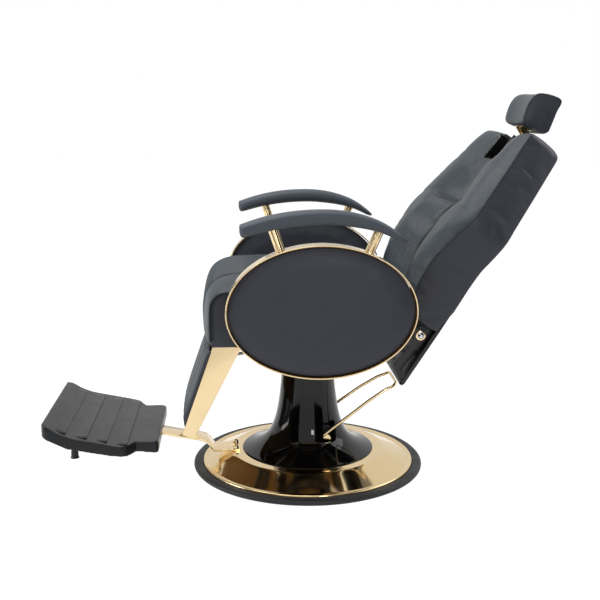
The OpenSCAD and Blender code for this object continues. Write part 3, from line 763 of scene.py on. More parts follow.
def turned(name: str, profile: Sequence[tuple[float, float]], sides: int) -> bpy.types.Object:
    """Turns a round piece about the Z axis, ring by ring.

    Args:
        name: Name of the piece.
        profile: Radius and height of each ring.
        sides: Points round a ring.

    Returns:
        The piece, open at both ends.
    """
    put_down_all()
    radius, height = profile[0]
    bpy.ops.mesh.primitive_circle_add(vertices=sides, radius=radius * MM, location=(0, 0, height * MM))
    piece = bpy.context.object
    piece.name = name
    bpy.ops.object.mode_set(mode="EDIT")
    bpy.ops.mesh.select_all(action="SELECT")
    for (r0, z0), (r1, z1) in zip(profile, profile[1:]):
        bpy.ops.mesh.extrude_region_move(TRANSFORM_OT_translate={"value": (0, 0, (z1 - z0) * MM)})
        if r1 != r0:
            bpy.ops.transform.resize(value=(r1 / r0, r1 / r0, 1), center_override=(0, 0, z1 * MM))
    bpy.ops.mesh.select_all(action="SELECT")
    bpy.ops.mesh.remove_doubles(threshold=0.01 * MM)
    bpy.ops.mesh.normals_make_consistent(inside=False)
    bpy.ops.object.mode_set(mode="OBJECT")
    bpy.ops.object.transform_apply(location=True, rotation=True, scale=True)
    return piece


def round_corners(
    profile: Sequence[tuple[float, float]], radius: float, steps: int = 4
) -> list[tuple[float, float]]:
    """Rounds the inner corners of a line over at most a radius.

    Args:
        profile: The line's corners.
        radius: Length of each leg that a rounding takes.
        steps: Points on each rounding, less one.

    Returns:
        The rounded line.
    """
    p = np.array(profile, float)
    made = [tuple(p[0])]
    for a, b, c in zip(p, p[1:], p[2:]):
        reach = min(radius, 0.48 * np.linalg.norm(a - b), 0.48 * np.linalg.norm(c - b))
        start = b + (a - b) / np.linalg.norm(a - b) * reach
        end = b + (c - b) / np.linalg.norm(c - b) * reach
        for t in np.linspace(0, 1, steps + 1):
            made.append(tuple((1 - t) ** 2 * start + 2 * t * (1 - t) * b + t * t * end))
    made.append(tuple(p[-1]))
    return made


def formed_sheet(name: str, grid: np.ndarray, thickness: float, edge: float) -> bpy.types.Object:
    """Forms a flat sheet over a grid of points and gives it a thickness.

    Args:
        name: Name of the piece.
        grid: Rows of points that the sheet's face goes through.
        thickness: Thickness, which goes to the rear of the face.
        edge: Width of the eased edges.

    Returns:
        The piece.
    """
    rows, cols = grid.shape[:2]
    put_down_all()
    bpy.ops.mesh.primitive_grid_add(x_subdivisions=cols - 1, y_subdivisions=rows - 1, size=2)
    piece = bpy.context.object
    piece.name = name
    for vertex in piece.data.vertices:
        i = round((vertex.co.y + 1) / 2 * (rows - 1))
        j = round((vertex.co.x + 1) / 2 * (cols - 1))
        vertex.co = Vector(grid[i, j] * MM)
    apply_modifier(piece, "SOLIDIFY", thickness=thickness * MM, offset=-1.0)
    apply_modifier(
        piece,
        "BEVEL",
        width=edge * MM,
        segments=2,
        limit_method="ANGLE",
        angle_limit=math.radians(50),
    )
    smooth_faces(piece, 40)
    return piece


# ---- padded pieces -----------------------------------------------------------------------------

FILL_FRAMES = 20


@dataclass
class Cover:
    """A closed padded form before it is filled.

    Attributes:
        points: Its points, in millimetres.
        faces: Its faces.
        sewn: True for each point that stitching or a board holds still.
        seams: Edges that stay creased, with how sharp they are, from 0 to 1.
        sides: Numbers of the faces that take the side copy of the cloth, whose colour is painted light for
            the side walls.
        groove_shade_mask: Numbers of the points in sewn grooves and on seams, where the colour is darkened
            as painted shade.
    """

    points: np.ndarray
    faces: list[tuple[int, ...]]
    sewn: np.ndarray
    seams: dict[tuple[int, int], float] = field(default_factory=dict)
    sides: set[int] = field(default_factory=set)
    groove_shade_mask: set[int] = field(default_factory=set)

    def make(self, name: str, lean: Lean) -> bpy.types.Object:
        """Makes the form's mesh object.

        Args:
            name: Name of the piece.
            lean: Drawing frame of the points.

        Returns:
            The piece, with its creases, the cloth on its front and the cloth's painted-light side copy on
            its sides.
        """
        piece = skin(name, lean.place(self.points), self.faces)
        mesh = piece.data
        crease = mesh.attributes.new("crease_edge", "FLOAT", "EDGE")
        for edge in mesh.edges:
            a, b = sorted(edge.vertices)
            sharp = self.seams.get((a, b), 0.0)
            if sharp:
                crease.data[edge.index].value = sharp
        # Painted shade: the marked points carry a mask that darkens the cloth's colour in sewn grooves and
        # along seams.
        if self.groove_shade_mask:
            groove_shade = mesh.attributes.new("groove_shade", "FLOAT", "POINT")
            for number in self.groove_shade_mask:
                groove_shade.data[number].value = 1.0
        mesh.materials.append(LEATHERCLOTH.material())
        mesh.materials.append(LEATHERCLOTH_SIDE.material())
        for number in self.sides:
            mesh.polygons[number].material_index = 1
        return piece


def fill(
    piece: bpy.types.Object, sewn: np.ndarray, pressure: float, cap: float, slack: float = 0.0
) -> None:
    """Fills a cover by a cloth simulation with air pressure inside it.

    Args:
        piece: The cover.
        sewn: True for each point that stays where it is.
        pressure: Pressure of the filling.
        cap: The most that a point may move, in millimetres.
        slack: Share by which the cloth is cut larger than the form.
    """
    take_up(piece)
    rest = np.array([v.co for v in piece.data.vertices])
    group = piece.vertex_groups.new(name="sewn")
    group.add([int(i) for i in np.flatnonzero(sewn)], 1.0, "REPLACE")
    modifier = piece.modifiers.new("filling", "CLOTH")
    cloth = modifier.settings
    cloth.quality = 4
    cloth.mass = 0.4
    cloth.tension_stiffness = cloth.compression_stiffness = 18
    cloth.shear_stiffness = 8
    cloth.bending_stiffness = 1.2
    cloth.use_pressure = True
    cloth.uniform_pressure_force = pressure
    cloth.vertex_group_mass = group.name
    cloth.shrink_min = -slack
    cloth.effector_weights.gravity = 0.0
    modifier.collision_settings.use_collision = False
    modifier.point_cache.frame_start, modifier.point_cache.frame_end = 1, FILL_FRAMES
    for number in range(1, FILL_FRAMES + 1):
        bpy.context.scene.frame_set(number)
    bpy.ops.object.modifier_apply(modifier=modifier.name)
    bpy.context.scene.frame_set(1)
    now = np.array([v.co for v in piece.data.vertices])
    move = now - rest
    length = np.linalg.norm(move, axis=1, keepdims=True)
    move *= np.minimum(1, cap * MM / np.maximum(length, 1e-9))
    move[sewn] = 0
    piece.data.vertices.foreach_set("co", (rest + move).ravel())
    piece.data.update()
    piece.vertex_groups.clear()
    log.info("%s: filled, moved at most %.1f mm", piece.name, float(length.max()) / MM)


def finish_cover(piece: bpy.types.Object) -> None:
    """Subdivides a filled cover once and shades it smooth.

    Args:
        piece: The cover.
    """
    apply_modifier(piece, "SUBSURF", levels=1, render_levels=1, uv_smooth="NONE")
    take_up(piece)
    bpy.ops.object.shade_smooth()


@dataclass
class Slab:
    """A pad drawn as a front sheet and a rear sheet over one grid, with walls between them.

    Attributes:
        front: Rows and columns of points of the front sheet. Seen from the front, rows go up and
            columns go to the right.
        rear: The rear sheet's points.
        cells: True for each cell of the grid that the pad covers.
        steps: Rows of faces across the wall.
        bulge: How far the wall stands out half way, at each point of the grid.
        seam: How sharp the seam round the front sheet is.
        rear_seam: How sharp the edge round the rear sheet is.
        number: Number of the cover's point at each place of the grid, -1 where it has none. It is
            known once the cover is joined.
    """

    front: np.ndarray
    rear: np.ndarray
    cells: np.ndarray
    steps: int
    bulge: np.ndarray
    seam: float = 0.75
    rear_seam: float = 0.6
    number: np.ndarray = field(init=False)

    def cover(self) -> Cover:
        """Joins the sheets into one closed cover.

        Returns:
            The cover, sewn along its front seam and all over its rear sheet.
        """
        rows, cols = self.front.shape[:2]
        used = np.zeros((rows, cols), bool)
        for i, j in np.argwhere(self.cells):
            used[i : i + 2, j : j + 2] = True
        number = -np.ones((rows, cols), int)
        number[used] = np.arange(used.sum())
        total = int(used.sum())
        points = [*self.front[used], *self.rear[used]]
        faces: list[tuple[int, ...]] = []
        edges: dict[tuple[int, int], int] = {}
        for i, j in np.argwhere(self.cells):
            loop = (number[i, j], number[i, j + 1], number[i + 1, j + 1], number[i + 1, j])
            faces.append(tuple(int(n) for n in loop))
            faces.append(tuple(int(n) + total for n in reversed(loop)))
            for a, b in zip(loop, loop[1:] + loop[:1]):
                edges[(int(a), int(b))] = 1
        border = [edge for edge in edges if edge[::-1] not in edges]
        flat = self.front[used][:, [0, 2]]
        outward = np.zeros((total, 2))
        for a, b in border:
            d = flat[b] - flat[a]
            normal = np.array([d[1], -d[0]]) / max(np.linalg.norm(d), 1e-9)
            outward[a] += normal
            outward[b] += normal
        outward /= np.maximum(np.linalg.norm(outward, axis=1, keepdims=True), 1e-9)
        bulge = self.bulge[used]
        chain: dict[int, list[int]] = {}
        for a in {n for edge in border for n in edge}:
            chain[a] = [a]
            for k in range(1, self.steps):
                t = k / self.steps
                p = points[a] * (1 - t) + points[a + total] * t
                out = np.array([outward[a][0], 0, outward[a][1]])
                p = p + out * bulge[a] * math.sin(math.pi * t) ** 0.6
                chain[a].append(len(points))
                points.append(p)
            chain[a].append(a + total)
        sides = set()
        seams: dict[tuple[int, int], float] = {}
        for a, b in border:
            seams[tuple(sorted((a, b)))] = self.seam
            seams[tuple(sorted((a + total, b + total)))] = self.rear_seam
            for k in range(self.steps):
                sides.add(len(faces))
                faces.append((chain[b][k], chain[a][k], chain[a][k + 1], chain[b][k + 1]))
        sewn = np.zeros(len(points), bool)
        sewn[total : 2 * total] = True
        sewn[[n for edge in border for n in edge]] = True
        self.number = number
        return Cover(np.array(points), faces, sewn, seams, sides)


@dataclass
class Roll:
    """A pad drawn as a row of closed rings, with a sewn-in panel at each end.

    Attributes:
        rings: Rings of points. Seen from the last ring, each ring runs anticlockwise.
        panel_rows: Rows of faces between an end ring and the middle of its panel.
        dome: How far the panel's middle stands out.
        seam: How sharp the seam round the panels is.
    """

    rings: np.ndarray
    panel_rows: int = 8
    dome: float = 4.0
    seam: float = 0.8

    def cover(self) -> Cover:
        """Joins the rings and the two panels into one closed cover.

        Returns:
            The cover, sewn along its two end rings.
        """
        count, size = self.rings.shape[:2]
        points = [p for ring in self.rings for p in ring]
        faces: list[tuple[int, ...]] = []
        for i in range(count - 1):
            for j in range(size):
                a, b = i * size + j, i * size + (j + 1) % size
                faces.append((a, b, b + size, a + size))
        seams: dict[tuple[int, int], float] = {}
        sides: set[int] = set()
        for first, outward in ((0, -1.0), ((count - 1) * size, 1.0)):
            ring = np.array(points[first : first + size])
            axis = self.rings[-1].mean(0) - self.rings[0].mean(0)
            axis = outward * axis / np.linalg.norm(axis)
            line = self._spine(ring)
            before = [first + j for j in range(size)]
            for j in range(size):
                seams[tuple(sorted((before[j], before[(j + 1) % size])))] = self.seam
            for k in range(1, self.panel_rows + 1):
                t = k / self.panel_rows
                now = []
                for j in range(size):
                    p = ring[j] * (1 - t) + line[j] * t
                    now.append(len(points))
                    points.append(p + axis * self.dome * math.sin(math.pi / 2 * min(1, 1.6 * t)))
                for j in range(size):
                    a, b = before[j], before[(j + 1) % size]
                    c, d = now[(j + 1) % size], now[j]
                    sides.add(len(faces))
                    faces.append((a, d, c, b) if outward < 0 else (a, b, c, d))
                before = now
        sewn = np.zeros(len(points), bool)
        sewn[:size] = sewn[(count - 1) * size : count * size] = True
        return Cover(np.array(points), faces, sewn, seams, sides)

    @staticmethod
    def _spine(ring: np.ndarray) -> np.ndarray:
        """Points on the ring's long middle line that its own points close on.

        Args:
            ring: The ring.

        Returns:
            One point for each point of the ring.
        """
        middle = ring.mean(0)
        spread = ring - middle
        _, _, axes = np.linalg.svd(spread, full_matrices=False)
        reach = spread @ axes[0]
        limit = 0.55 * np.ptp(reach) / 2
        return middle + np.outer(np.clip(reach, -limit, limit), axes[0]) * 0.6


@dataclass(frozen=True)
class Facing:
    """A drawing frame whose front faces a side of the chair.

    Attributes:
        outward: 1 where the front faces +X, -1 where it faces -X.
        x: X of the drawing's zero plane.
        y: Y of the drawing's middle.
        z: Z of the drawing's middle.
    """

    outward: int
    x: float
    y: float
    z: float

    def place(self, points: np.ndarray) -> np.ndarray:
        """Moves drawn points to where they stand on the chair.

        Args:
            points: Points as rows of x, y, z, in millimetres.

        Returns:
            The same points on the chair.
        """
        side = self.outward
        return np.stack(
            [
                self.x - side * points[..., 1],
                self.y + side * points[..., 0],
                self.z + points[..., 2],
            ],
            axis=-1,
        )


def quilt(place: np.ndarray, height: float) -> np.ndarray:
    """Height of sewn channels.

    Args:
        place: Place across the channels; each whole number is a stitched line.
        height: Height of a channel over its stitched lines.

    Returns:
        Height at each place.
    """
    return height * np.abs(np.sin(np.pi * place)) ** 0.62


def welt(name: str, points: np.ndarray, radius: float) -> bpy.types.Object:
    """Lays a round welt along a closed or open line.

    Args:
        name: Name of the piece.
        points: Points of the line, in millimetres, on the chair.
        radius: Radius of the welt.

    Returns:
        The welt as a mesh.
    """
    put_down_all()
    closed = bool(np.linalg.norm(points[0] - points[-1]) < 0.5)
    line = points[:-1] if closed else points
    curve = bpy.data.curves.new(name, "CURVE")
    curve.dimensions = "3D"
    path = curve.splines.new("POLY")
    path.points.add(len(line) - 1)
    for point, place in zip(path.points, line):
        point.co = (*(place * MM), 1.0)
    path.use_cyclic_u = closed
    curve.bevel_depth = radius * MM
    curve.bevel_resolution = 3
    curve.use_fill_caps = not closed
    piece = bpy.data.objects.new(name, curve)
    bpy.context.scene.collection.objects.link(piece)
    take_up(piece)
    bpy.ops.object.convert(target="MESH")
    piece = bpy.context.object
    piece.name = name
    bpy.ops.object.shade_smooth()
    return piece


# ---- base, column and footrest -----------------------------------------------------------------


@dataclass
class Pedestal:
    """Rubber rimmed disc, pump and the bell shaped cover over it.

    Attributes:
        base_r: Radius over the rubber rim.
        dish_r: Radius of the disc.
        flat_r: Radius of the disc's flat top.
        dish_h: Height of the flat top.
        cover_top: Height of the bell's top.
        cover_wall: Thickness of the bell's wall.
        slot_x: Distance of the pedal's slots from the middle.
        slot_y: Y of their middle.
        slot_z: Height of their middle.
        slot_size: Width, depth and height of a slot's cutter.
        slot_corner: Width of its eased edges.
    """

    base_r: float = 340.0
    dish_r: float = 312.0
    flat_r: float = 222.0
    dish_h: float = 49.0
    cover_top: float = 325.0
    cover_wall: float = 3.0
    slot_x: float = 92.5
    slot_y: float = 57.0
    slot_z: float = 122.0
    slot_size: tuple[float, float, float] = (65.0, 40.0, 56.0)
    slot_corner: float = 8.0

    def build(self) -> None:
        """Builds the rim, the disc and the bell, and dresses the pump."""
        self._rim()
        self._disc()
        self._bell()
        self._collar()
        for node in ("ballast_plate", "pump_body"):
            dress_node(node, CAST_IRON)
        for node in ("pump_bolts", "pump_plunger", "ram", "thrust_bearing"):
            dress_node(node, GROUND_STEEL)
        dress_node("ram_seal", RIM_RUBBER)

    def cover_radius(self, z: float) -> float:
        """Radius of the bell: a long taper and a quick flare at the foot.

        Args:
            z: Height above the floor.

        Returns:
            The radius.
        """
        taper = 30 * math.exp((126 - z) / 110)
        flare = 63 * math.exp((52 - z) / 22)
        return 70 + taper + flare

    def _rim(self) -> None:
        """Turns the rubber rim."""
        r = self.dish_r
        profile = round_corners(
            [
                (r - 16, 4),
                (r - 16, 0),
                (self.base_r - 4, 0),
                (self.base_r, 4),
                (self.base_r, 10),
                (self.base_r - 5, 15),
                (r + 0.3, 15),
                (r + 0.3, 9),
                (r - 16, 9),
                (r - 16, 4),
            ],
            3.0,
        )
        piece = turned("base_rubber_rim", profile, 160)
        smooth_faces(piece, 50)
        hand_over(piece, Body.BASE, RIM_RUBBER, ["base_rim"])

    def _disc(self) -> None:
        """Turns the gold disc with its rolled lip."""
        r, h = self.dish_r, self.dish_h
        outer = round_corners(
            [
                (r, 9),
                (r, 17),
                (r - 2.5, 19.4),
                (r - 8, 19.6),
                (r - 14, 17.2),
                (self.flat_r + 8, h - 2.8),
                (self.flat_r, h),
                (60, h),
            ],
            5.0,
            5,
        )
        inner = [(60, h - 3), (self.flat_r - 1, h - 3), (r - 14, 14), (r - 9, 16), (r - 3, 15), (r - 3, 9)]
        piece = turned("base_disc", [*outer, *inner, outer[0]], 192)
        smooth_faces(piece, 28)
        hand_over(piece, Body.BASE, GOLD_DISC, ["base_dish"])

    def _bell(self) -> None:
        """Turns the bell, gives it its wall and cuts the pedal's two slots."""
        low, steps = self.dish_h + 3, 56
        heights = [low + (self.cover_top - low) * (i / steps) ** 1.6 for i in range(steps + 1)]
        foot = self.cover_radius(heights[0])
        profile = [(foot + 2.2, self.dish_h), (foot + 2.6, self.dish_h + 1.2)]
        profile += [(self.cover_radius(z), z) for z in heights]
        piece = turned("column_bell", profile, 160)
        apply_modifier(piece, "SOLIDIFY", thickness=self.cover_wall * MM, offset=-1.0)
        for x in (-self.slot_x, self.slot_x):
            put_down_all()
            place = (x * MM, self.slot_y * MM, self.slot_z * MM)
            bpy.ops.mesh.primitive_cube_add(size=1, location=place)
            cutter = bpy.context.object
            cutter.scale = [length * MM for length in self.slot_size]
            bpy.ops.object.transform_apply(location=True, rotation=True, scale=True)
            apply_modifier(
                cutter,
                "BEVEL",
                width=self.slot_corner * MM,
                segments=4,
                limit_method="ANGLE",
                affect="EDGES",
            )
            apply_modifier(piece, "BOOLEAN", object=cutter, operation="DIFFERENCE", solver="EXACT")
            bpy.data.objects.remove(cutter)
        smooth_faces(piece, 38)
        hand_over(piece, Body.BASE, BLACK_ENAMEL, ["column_cover"])

    def _collar(self) -> None:
        """Turns the collar at the bell's top."""
        r, z = self.cover_radius(self.cover_top), self.cover_top
        profile = round_corners(
            [(28, z + 2), (28, z), (r + 3, z), (r + 3, z + 5), (r, z + 8), (28, z + 8), (28, z + 2)], 1.6
        )
        piece = turned("column_collar", profile, 96)
        smooth_faces(piece, 40)
        hand_over(piece, Body.BASE, BLACK_ENAMEL, ["cover_collar"])


@dataclass
class Footrest:
    """Bent flat bar, its dome bolts, the treaded footplate and its screw foot.

    Attributes:
        bolt_x: Half the distance between the dome bolts.
        bolt_y: Y of the dome bolts.
        bar_top: Height of the bar's top at the bolts.
        tread_rears: Y of the rear edge of each raised tread.
        tread_width: Width of a tread.
        tread_half: Half of a tread's length.
        tread_rise: Rise of a tread at its rear edge, from which it slopes down to the front.
        tread_dip: Rise at its front edge, as a share of the rise at its rear edge.
        tread_height: Height along Y that the plate's top and the treads start from.
        sink: How far both are set under that height.
        neck_half: Half width of the neck where it leaves the bar.
        neck_widens: How much it widens on each side.
        neck_start: Y from which it widens.
        neck_run: Length over which it widens.
        shoulder_x: Span beside the neck in which the plate's rear edge is drawn to the rear.
        shoulder_y: Span along Y in which it is.
        shoulder_move: The most that it is.
        narrow_y: Span along Y in which the sides are drawn in to the neck's width.
        fair_x: Distance from the middle past which the neck's corners are smoothed.
        fair_y: Span along Y in which they are.
    """

    bolt_x: float = 24.0
    bolt_y: float = -215.0
    bar_top: float = 55.0
    tread_rears: tuple[float, ...] = (-678.0, -622.0, -567.0, -513.0)
    tread_width: float = 36.0
    tread_half: float = 202.0
    tread_rise: float = 3.4
    tread_dip: float = -0.25
    tread_height: Outline = Outline(
        ((-750, 207), (-725, 195), (-700, 179.5), (-668, 166), (-600, 151), (-505, 133.5), (-400, 131))
    )
    sink: float = 0.3
    neck_half: float = 172.0
    neck_widens: float = 50.0
    neck_start: float = -486.0
    neck_run: float = 42.0
    shoulder_x: tuple[float, float] = (168.0, 204.0)
    shoulder_y: tuple[float, float] = (-514.0, -498.0)
    shoulder_move: float = 17.0
    narrow_y: tuple[float, float] = (-545.0, -478.0)
    fair_x: float = 150.0
    fair_y: tuple[float, float] = (-550.0, -468.0)

    def build(self) -> None:
        """Builds the bar, the bolts, the plate with its treads, and the foot."""
        bar = worked_copy("footrest_bar", "footrest_flat_bar", 1.3, 3, 40)
        hand_over(bar, Body.BASE, GOLD_PLATING, ["footrest_bar"])
        self._dome_bolts()
        self._plate()
        self._treads()
        foot = worked_copy("stop_foot", "footplate_rubber_foot", 0.8, 2, 30)
        hand_over(foot, Body.BASE, RIM_RUBBER, ["stop_foot"])
        stud = worked_copy("stop_stud", "footplate_stud", 0.5, 2, 30)
        hand_over(stud, Body.BASE, GROUND_STEEL, ["stop_stud"])
        bolts = worked_copy("footplate_bolts", "footplate_hex_bolts", 0.5, 2, 30)
        hand_over(bolts, Body.BASE, GROUND_STEEL, ["footplate_bolts"])

    def _plate(self) -> None:
        """Rounds the moulded plate all over, and shapes its neck and its top."""
        plate = worked_copy("footplate", "footplate_shell")
        apply_modifier(plate, "REMESH", mode="VOXEL", voxel_size=3.0 * MM)
        apply_modifier(plate, "SMOOTH", factor=0.5, iterations=9)
        self._shape_neck(plate)
        self._level_top(plate)
        take_up(plate)
        bpy.ops.object.shade_smooth()
        hand_over(plate, Body.BASE, FILLED_NYLON, ["footplate"])

    def _shape_neck(self, plate: bpy.types.Object) -> None:
        """Gives the plate's neck its S-shaped sides.

        Args:
            plate: The plate.
        """
        near, far = self.shoulder_x
        neck = plate.vertex_groups.new(name="neck")
        for vertex in plate.data.vertices:
            x, y = abs(vertex.co.x) / MM, vertex.co.y / MM
            step = min(max((self.neck_start - y) / self.neck_run, 0.0), 1.0)
            wide = self.neck_half + self.neck_widens * step * step * (3 - 2 * step)
            if near < x < far and self.shoulder_y[0] < y < self.shoulder_y[1]:
                vertex.co.y += self.shoulder_move * ((far - x) / (far - near)) ** 2 * MM
            if x > wide and self.narrow_y[0] < y < self.narrow_y[1]:
                vertex.co.x *= wide / x
            if x > self.fair_x and self.fair_y[0] < y < self.fair_y[1]:
                neck.add([vertex.index], 1.0, "REPLACE")
        apply_modifier(plate, "SMOOTH", factor=0.5, iterations=36, vertex_group="neck")

    def _level_top(self, plate: bpy.types.Object) -> None:
        """Sets the faces of the plate's top to one even height along Y.

        Args:
            plate: The plate.
        """
        points = np.array([vertex.co for vertex in plate.data.vertices]) / MM
        facing_up = np.array([vertex.normal[2] for vertex in plate.data.vertices])
        height = self.tread_height.at(points[:, 1])
        near_top = points[:, 2] > height - 5
        share = np.clip((facing_up - 0.8) / 0.13, 0, 1) * near_top
        points[:, 2] += (height - self.sink - points[:, 2]) * share
        plate.data.vertices.foreach_set("co", (points * MM).ravel())
        plate.data.update()
        apply_modifier(plate, "SMOOTH", factor=0.5, iterations=3)

    def _treads(self) -> None:
        """Forms the raised treads."""
        rows, cols = 16, 25
        for number, rear in enumerate(self.tread_rears, 1):
            y = np.linspace(rear - self.tread_width, rear, rows)
            x = np.linspace(-self.tread_half, self.tread_half, cols)
            grid = np.zeros((rows, cols, 3))
            grid[..., 1], grid[..., 0] = np.meshgrid(y, x, indexing="ij")
            rise = self.tread_rise * np.linspace(self.tread_dip, 1, rows) - self.sink
            grid[..., 2] = (self.tread_height.at(y) + rise)[:, None]
            tread = formed_sheet(f"footplate_tread_{number}", grid, thickness=4.2, edge=0.5)
            hand_over(tread, Body.BASE, FILLED_NYLON)

    def _dome_bolts(self) -> None:
        """Turns one dome bolt and copies it for the other."""
        top = self.bar_top
        dome = [(7.4 * math.cos(a), top + 5.2 + 6.2 * math.sin(a)) for a in np.linspace(0, 1.5, 8)]
        profile = [(5, 41), (5, top), (8.6, top), *dome, (0.05, top + 11.4)]
        piece = turned("footrest_dome_bolts", round_corners(profile[:4], 0.8) + profile[4:], 40)
        take_up(piece)
        bpy.ops.transform.translate(value=(-self.bolt_x * MM, self.bolt_y * MM, 0))
        bpy.ops.object.duplicate()
        twin = bpy.context.object
        bpy.ops.transform.translate(value=(2 * self.bolt_x * MM, 0, 0))
        piece.select_set(True)
        bpy.context.view_layer.objects.active = piece
        twin.select_set(True)
        bpy.ops.object.join()
        bpy.ops.object.transform_apply(location=True, rotation=True, scale=True)
        bpy.ops.object.mode_set(mode="EDIT")
        bpy.ops.mesh.select_all(action="SELECT")
        bpy.ops.mesh.fill_holes(sides=64)
        bpy.ops.mesh.normals_make_consistent(inside=False)
        bpy.ops.object.mode_set(mode="OBJECT")
        smooth_faces(piece, 40)
        hand_over(piece, Body.BASE, GOLD_PLATING, ["bar_bolts"])


@dataclass
class PumpPedal:
    """Bent round pedal that pumps the chair up."""

    def build(self) -> None:
        """Builds the pedal from its construction shape."""
        loop = worked_copy("pedal", "pump_pedal", 0.0, angle=38)
        hand_over(loop, Body.PEDAL, GOLD_PLATING, ["pedal"])


# ---- seat ----------------------------------------------------------------------------------


@dataclass
class Seat:
    """Quilted seat cushion over its board and frame.

    Attributes:
        half: Half width.
        quilt_half: Half width of the quilted middle.
        channels: Number of channels across the middle.
        top: Height of the middle.
        rear: Y of the rear.
        bottom: Height of the underside.
        quilt_height: Height of a channel over its stitched lines.
        quilt_sink: How far the stitched lines lie under the plain form.
        border_sink: How far the border lies under it beside the quilting.
        wave: How far the stitched lines swing to either side.
        wave_length: Length of one swing.
        pocket_half: Half width of the pocket for the board, in the underside.
        pocket_depth: Depth of that pocket.
    """

    half: float = 262.0
    quilt_half: float = 150.0
    channels: int = 8
    top: float = 611.0
    rear: float = 194.0
    bottom: float = 422.0
    quilt_height: float = 12.0
    quilt_sink: float = 8.4
    border_sink: float = 4.4
    wave: float = 6.5
    wave_length: float = 128.0
    pocket_half: float = 245.5
    pocket_depth: float = 11.2

    def build(self) -> None:
        """Builds the cushion and dresses the frame."""
        self._cushion()
        dress_node("seat_board", BIRCH_PLY)
        frame_piece = worked_copy("seat_frame", "seat_tube_frame", 0.9, 2, 40)
        hand_over(frame_piece, Body.SEAT, FRAME_POWDER, ["seat_frame"])
        dress_node("swivel_plate", CAST_IRON)
        dress_node("swivel_bolts", GROUND_STEEL)
        dress_node("legrest_bearings", FRAME_POWDER)
        lever = worked_copy("recline_lever", "recline_lever_arm", 0.8, 2, 35)
        hand_over(lever, Body.LEVER, CHROME_PLATING, ["recline_lever"])
        grip = worked_copy("lever_grip", "recline_lever_grip", 3.0, 3, 35)
        hand_over(grip, Body.LEVER, RIM_RUBBER, ["lever_grip"])

    def section(self, x: float) -> np.ndarray:
        """One lengthwise section of the cushion's cover, from the rear over the top to the front.

        Args:
            x: Place across the seat.

        Returns:
            Control points of the section as rows of y and z.
        """
        k = (1 - min(abs(x) / self.half, 1.0) ** 3) ** 0.7
        top = 572 + (self.top - 572) * k
        front = -279 - 23 * k
        bottom, rear = self.bottom, self.rear
        return np.array(
            [
                (rear - 8, bottom),
                (rear - 1, bottom + 8),
                (rear, bottom + 60),
                (rear, top - 62),
                (rear - 8, top - 34),
                (rear - 36, top - 20),
                (110, top - 13),
                (20, top - 5),
                (-90, top - 1),
                (-175, top),
                (-210, top - 1 - k),
                (front + 46 + 8 * k, top - 2 - 10 * k),
                (front + 24 + 2 * k, top - 7 - 23 * k),
                (front + 8 + 3 * k, top - 22 - 34 * k),
                (front + 1.5 + 2.5 * k, top - 40 - 52 * k),
                (front, top - 130),
                (front + 1, top - 130 + (bottom - top + 130) * 0.55),
                (front + 3, bottom + 14),
                (min(front + 12, -274.5), bottom),
            ],
            float,
        )

    def _ring(self, x: float, place: float, count: int) -> tuple[np.ndarray, np.ndarray]:
        """One closed ring of the cushion.

        Args:
            x: Where the ring's section is taken.
            place: Place across the quilted middle, where whole numbers are stitched lines.
            count: Points on the cover's part of the ring.

        Returns:
            The ring's points, and how strongly each is held by a stitched line.
        """
        line = spline(self.section(x), count)
        step = np.gradient(line, axis=0)
        normal = np.stack([step[:, 1], -step[:, 0]], axis=-1)
        normal /= np.linalg.norm(normal, axis=1, keepdims=True)
        run = np.concatenate([[0], np.cumsum(np.linalg.norm(np.diff(line, axis=0), axis=1))])
        top_side = line[:, 0] > -200
        on_top = np.clip((160 - line[:, 0]) / 30, 0, 1)
        on_front = np.clip((line[:, 1] - 458) / 60, 0, 1)
        fade = np.where(top_side, on_top, on_front)
        fade = fade * fade * (3 - 2 * fade)
        inside = abs(x) <= self.quilt_half + 0.1
        shift = self.wave * np.sin(run / self.wave_length * math.tau + 0.6)
        if inside:
            raised = quilt(np.array(place), self.quilt_height) - self.quilt_sink
        else:
            beside = abs(x) - self.quilt_half
            raised = -self.border_sink * (1 - float(rounding(np.array(beside), 16, 2.2)))
            shift = shift * max(0.0, 1 - beside / 40)
        line = line + normal * (raised * fade)[:, None]
        across = x + shift * fade
        cover = np.column_stack([across, line])
        held = fade if inside and abs(place - round(place)) < 0.01 else np.zeros(count)
        z = self.bottom + (self.pocket_depth if abs(x) < self.pocket_half else 0.0)
        under = [(x, -273.2, self.bottom + 0.2), (x, -272.8, z)]
        under += [(x, y, z) for y in np.linspace(-230, 150, 6)]
        under += [(x, 184.4, z), (x, 184.8, self.bottom + 0.2)]
        return np.vstack([cover, np.array(under)]), np.concatenate([held, np.zeros(len(under))])

    def _cushion(self) -> None:
        """Builds the quilted cushion with its side panels."""
        per = 5
        inner = np.linspace(-self.channels / 2, self.channels / 2, self.channels * per + 1)
        pitch = 2 * self.quilt_half / self.channels
        outer = np.array([157, 166, 178, 192, 206, 219, 231, 241, 248.5, 254, 258, 260.8, 262])
        stations = [(-x, BESIDE_QUILTING) for x in outer[::-1]]
        stations += [(p * pitch, p) for p in inner]
        stations += [(x, BESIDE_QUILTING) for x in outer]
        count = 104
        made = [self._ring(x, place, count) for x, place in stations]
        rings = np.array([m[0] for m in made])
        held = np.concatenate([m[1] for m in made])
        roll = Roll(rings, panel_rows=9, dome=3.0, seam=0.85)
        cover = roll.cover()
        size = rings.shape[1]
        firm = np.concatenate([held, np.zeros(len(cover.points) - len(held))]) > 0.4
